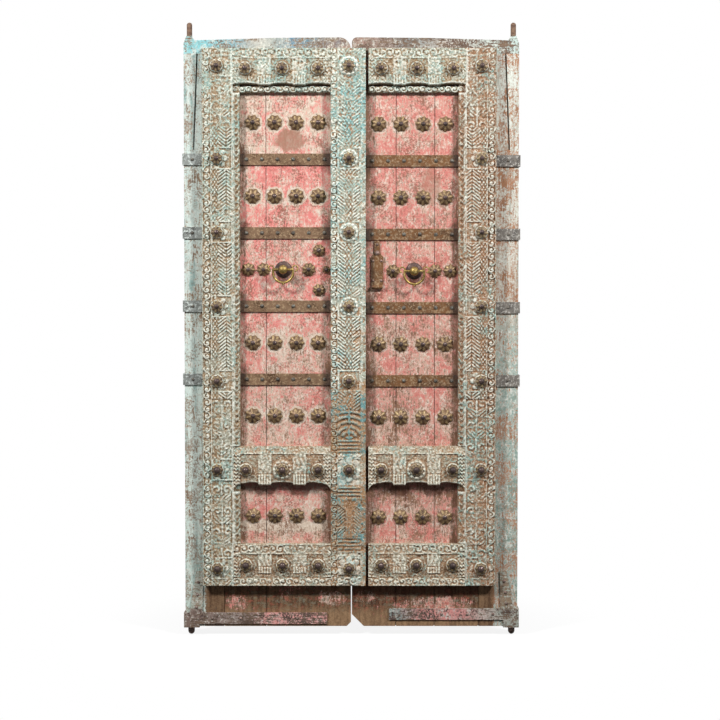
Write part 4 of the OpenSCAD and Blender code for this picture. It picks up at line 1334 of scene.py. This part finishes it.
def mix_finishes():
    """All paints and metals of the pair, by a short word."""
    pale_edge, worn_edge = (hinge_board_finish(name) for name in HINGE_BOARDS)
    worn_share = worn_edge.ramp(worn_edge.xyz()[2], 0.7, 1.5, 0.36, 0.43)
    celadon = ("dadbcf", "a5a594", "86aba4", "97754f", 0.42, 0.42)
    worn_rails = ("dedccc", "a29d8a", "78a59f", "9a7350", 0.34, 0.46)
    iron, rivet = ("90756b", "574740", "8f827a"), ("625b52", "3a312a", "90928a")
    rose, brass = ("5c4842", "35292a", "85735c"), ("98804a", "5f4f30", "cbb67c")
    finishes = {
        "edge": brown_foot(pale_edge, 0.045, 0.06, 0.37, "7d6450"),
        "worn": brown_foot(worn_edge, 1.02, 1.005, worn_share, "a06d4e"),
        "bare": ledge_finish(),
        "pale": carving_finish("Carving celadon", *celadon),
        "rails_low": carving_finish("Carving worn rails", *worn_rails),
        "brown": right_stile_finish(),
        "post": post_finish(),
        "band": band_finish(),
        "iron": metal_finish("Dark iron", iron, (0.5, 0.36), 0.5, 0.0008, 0.2),
        "rivet": metal_finish("Rivet steel", rivet, (0.5, 0.34), 0.4, 0.0005, 0.15),
        "rose": metal_finish("Rose patina", rose, (0.5, 0.26), 0.5, 0.0008, 0.4),
        "brass": metal_finish("Aged brass", brass, (0.42, 0.3), 0.3, 0.0004, 0.85),
        "boss": petal_finish("Boss patina", "a58e66", "725a43", "46352a"),
        "stud": petal_finish("Stud patina", "9c8a66", "6a5946", "43322c"),
    }
    for side in SIDES:
        finishes[f"panel_{side}"] = panel_finish(side)
        finishes[f"rail_{side}"] = top_rail_finish(side)
        finishes[f"strap_{side}"] = strap_finish(side)
    return {word: finish.material for word, finish in finishes.items()}


def finish_key(node):
    """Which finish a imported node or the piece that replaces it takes."""
    side, _, kind = node.partition("_")
    by_kind = {
        "hinge_board": "edge" if side == "left" else "worn",
        "edge_strip": "edge" if side == "left" else "worn",
        "top_rail": f"rail_{side}",
        "stile": "pale" if side == "left" else "brown",
        "head_rail": "pale",
        "bead_strip": "pale",
        "mid_rail": "rails_low",
        "foot_rail": "rails_low",
        "post": "post",
        "ledges": "bare",
        "knob": "brass",
        "ring": "brass",
        "rose": "rose",
        "corner_iron": f"strap_{side}",
        "bosses": "boss",
        "studs": "stud",
        "band_rivets": "rivet",
    }
    if kind in by_kind:
        return by_kind[kind]
    if kind.startswith("board_"):
        return f"panel_{side}"
    if kind.startswith("band_") or kind == "plate":
        return "band"
    return "iron"


BODY_OF = {n: b for b, members in frame["record"]["behaviour"]["bodies"].items() for n in members}


def dress():
    """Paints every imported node, then lays the carved pieces over the nodes that they stand for."""
    finishes = mix_finishes()
    for node, thing in frame["nodes"].items():
        thing.data.materials.clear()
        thing.data.materials.append(finishes[finish_key(node)])
    made = [add_stile(side) for side in SIDES] + [add_post()]
    made += [add_rail(side, kind) for side in SIDES for kind in RAILS]
    made += [add_bead_strip(side) for side in SIDES]
    for side in SIDES:
        made += add_petal_pieces(side)
    for piece, node in made:
        piece.data.materials.append(finishes[finish_key(node)])
        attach(piece, BODY_OF[node])
        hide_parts(node)


# floor, light and camera

AIM = Vector((PAIR_MIDDLE, -0.03, 1.008))
FLOOR_REACH = 9.0
PICTURE = 720
SHIFT_RIGHT = 8.6
SHIFT_DOWN = 32.7


def pale_floor():
    """Floor just under the pair: white to the camera but for a faint shadow, and dark to bounced light."""
    z, far = cad_box[0][2] - 0.001, FLOOR_REACH
    mesh = bpy.data.meshes.new("pale_floor")
    mesh.from_pydata([(-far, -far, z), (far, -far, z), (far, far, z), (-far, far, z)], [], [(0, 1, 2, 3)])
    floor = bpy.data.objects.new("pale_floor", mesh)
    bpy.context.scene.collection.objects.link(floor)
    material = bpy.data.materials.new("Pale floor")
    material.use_nodes = True
    nodes = material.node_tree.nodes
    g = Recipe(material.node_tree)
    shader = nodes["Principled BSDF"]
    shader.inputs["Roughness"].default_value = 0.9
    shader.inputs["Specular IOR Level"].default_value = 0.0
    seen = g.add("ShaderNodeLightPath").outputs["Is Camera Ray"]
    g.feed(shader.inputs["Base Color"], g.mix(seen, (0.16, 0.16, 0.16, 1), (0.92, 0.92, 0.92, 1)))
    white = g.add("ShaderNodeEmission", {"Color": (1, 1, 1, 1), "Strength": 1.0}).outputs[0]
    middle = {0: g.place(), 1: (PAIR_MIDDLE, 0.0, 0.0)}
    away = g.add("ShaderNodeVectorMath", middle, operation="DISTANCE").outputs["Value"]
    whiter = g.times(seen, g.ramp(away, 0.5, 1.0, 0.85, 1.0))
    blend = g.add("ShaderNodeMixShader", {0: whiter, 1: shader.outputs[0], 2: white}).outputs[0]
    g.feed(nodes["Material Output"].inputs["Surface"], blend)
    mesh.materials.append(material)


def white_surround():
    """World that is white to the camera and in reflections, and lights the pair only faintly."""
    world = bpy.data.worlds.new("White surround")
    bpy.context.scene.world = world
    world.use_nodes = True
    g = Recipe(world.node_tree)
    sky = world.node_tree.nodes["Background"].inputs
    sky["Color"].default_value = (1, 1, 1, 1)
    rays = g.add("ShaderNodeLightPath").outputs
    direct = g.math("MAXIMUM", rays["Is Camera Ray"], rays["Is Glossy Ray"])
    direct = g.math("MAXIMUM", direct, rays["Is Transmission Ray"])
    g.feed(sky["Strength"], g.ramp(direct, 0.0, 1.0, 0.07, 1.0))


def aimed(name, data, place):
    """Object of a lamp or a camera at a place, turned to face the middle of the pair."""
    thing = bpy.data.objects.new(name, data)
    bpy.context.scene.collection.objects.link(thing)
    thing.location = place
    thing.rotation_mode = "QUATERNION"
    thing.rotation_quaternion = (AIM - Vector(place)).to_track_quat("-Z", "Y")
    return thing


def softbox(name, place, size, power):
    """Square area lamp."""
    lamp = bpy.data.lights.new(name, "AREA")
    lamp.shape = "SQUARE"
    lamp.size = size
    lamp.energy = power
    aimed(name, lamp, place)


def studio():
    """Two softboxes high at the sides, so that the frame shades both edges of a panel, a weak one behind."""
    softbox("left_softbox", (-2.9, -3.3, 4.4), 0.7, 318)
    softbox("right_softbox", (3.97, -3.3, 4.4), 0.7, 318)
    softbox("rear_softbox", (PAIR_MIDDLE, 4.4, 3.4), 1.2, 90)
    bpy.context.scene.view_settings.view_transform = "Standard"


def viewpoint():
    """Camera a little above the middle of the pair, its picture shifted by the photograph's own pixels."""
    camera = bpy.data.cameras.new("camera")
    camera.lens = 85.0
    camera.sensor_width = 36.0
    camera.shift_x = SHIFT_RIGHT / PICTURE
    camera.shift_y = -SHIFT_DOWN / PICTURE
    distance, rise = 5.65, np.radians(2.1)
    place = AIM + Vector((0, -distance * np.cos(rise), distance * np.sin(rise)))
    bpy.context.scene.camera = aimed("camera", camera, place)


dress()
pale_floor()
white_surround()
studio()
viewpoint()
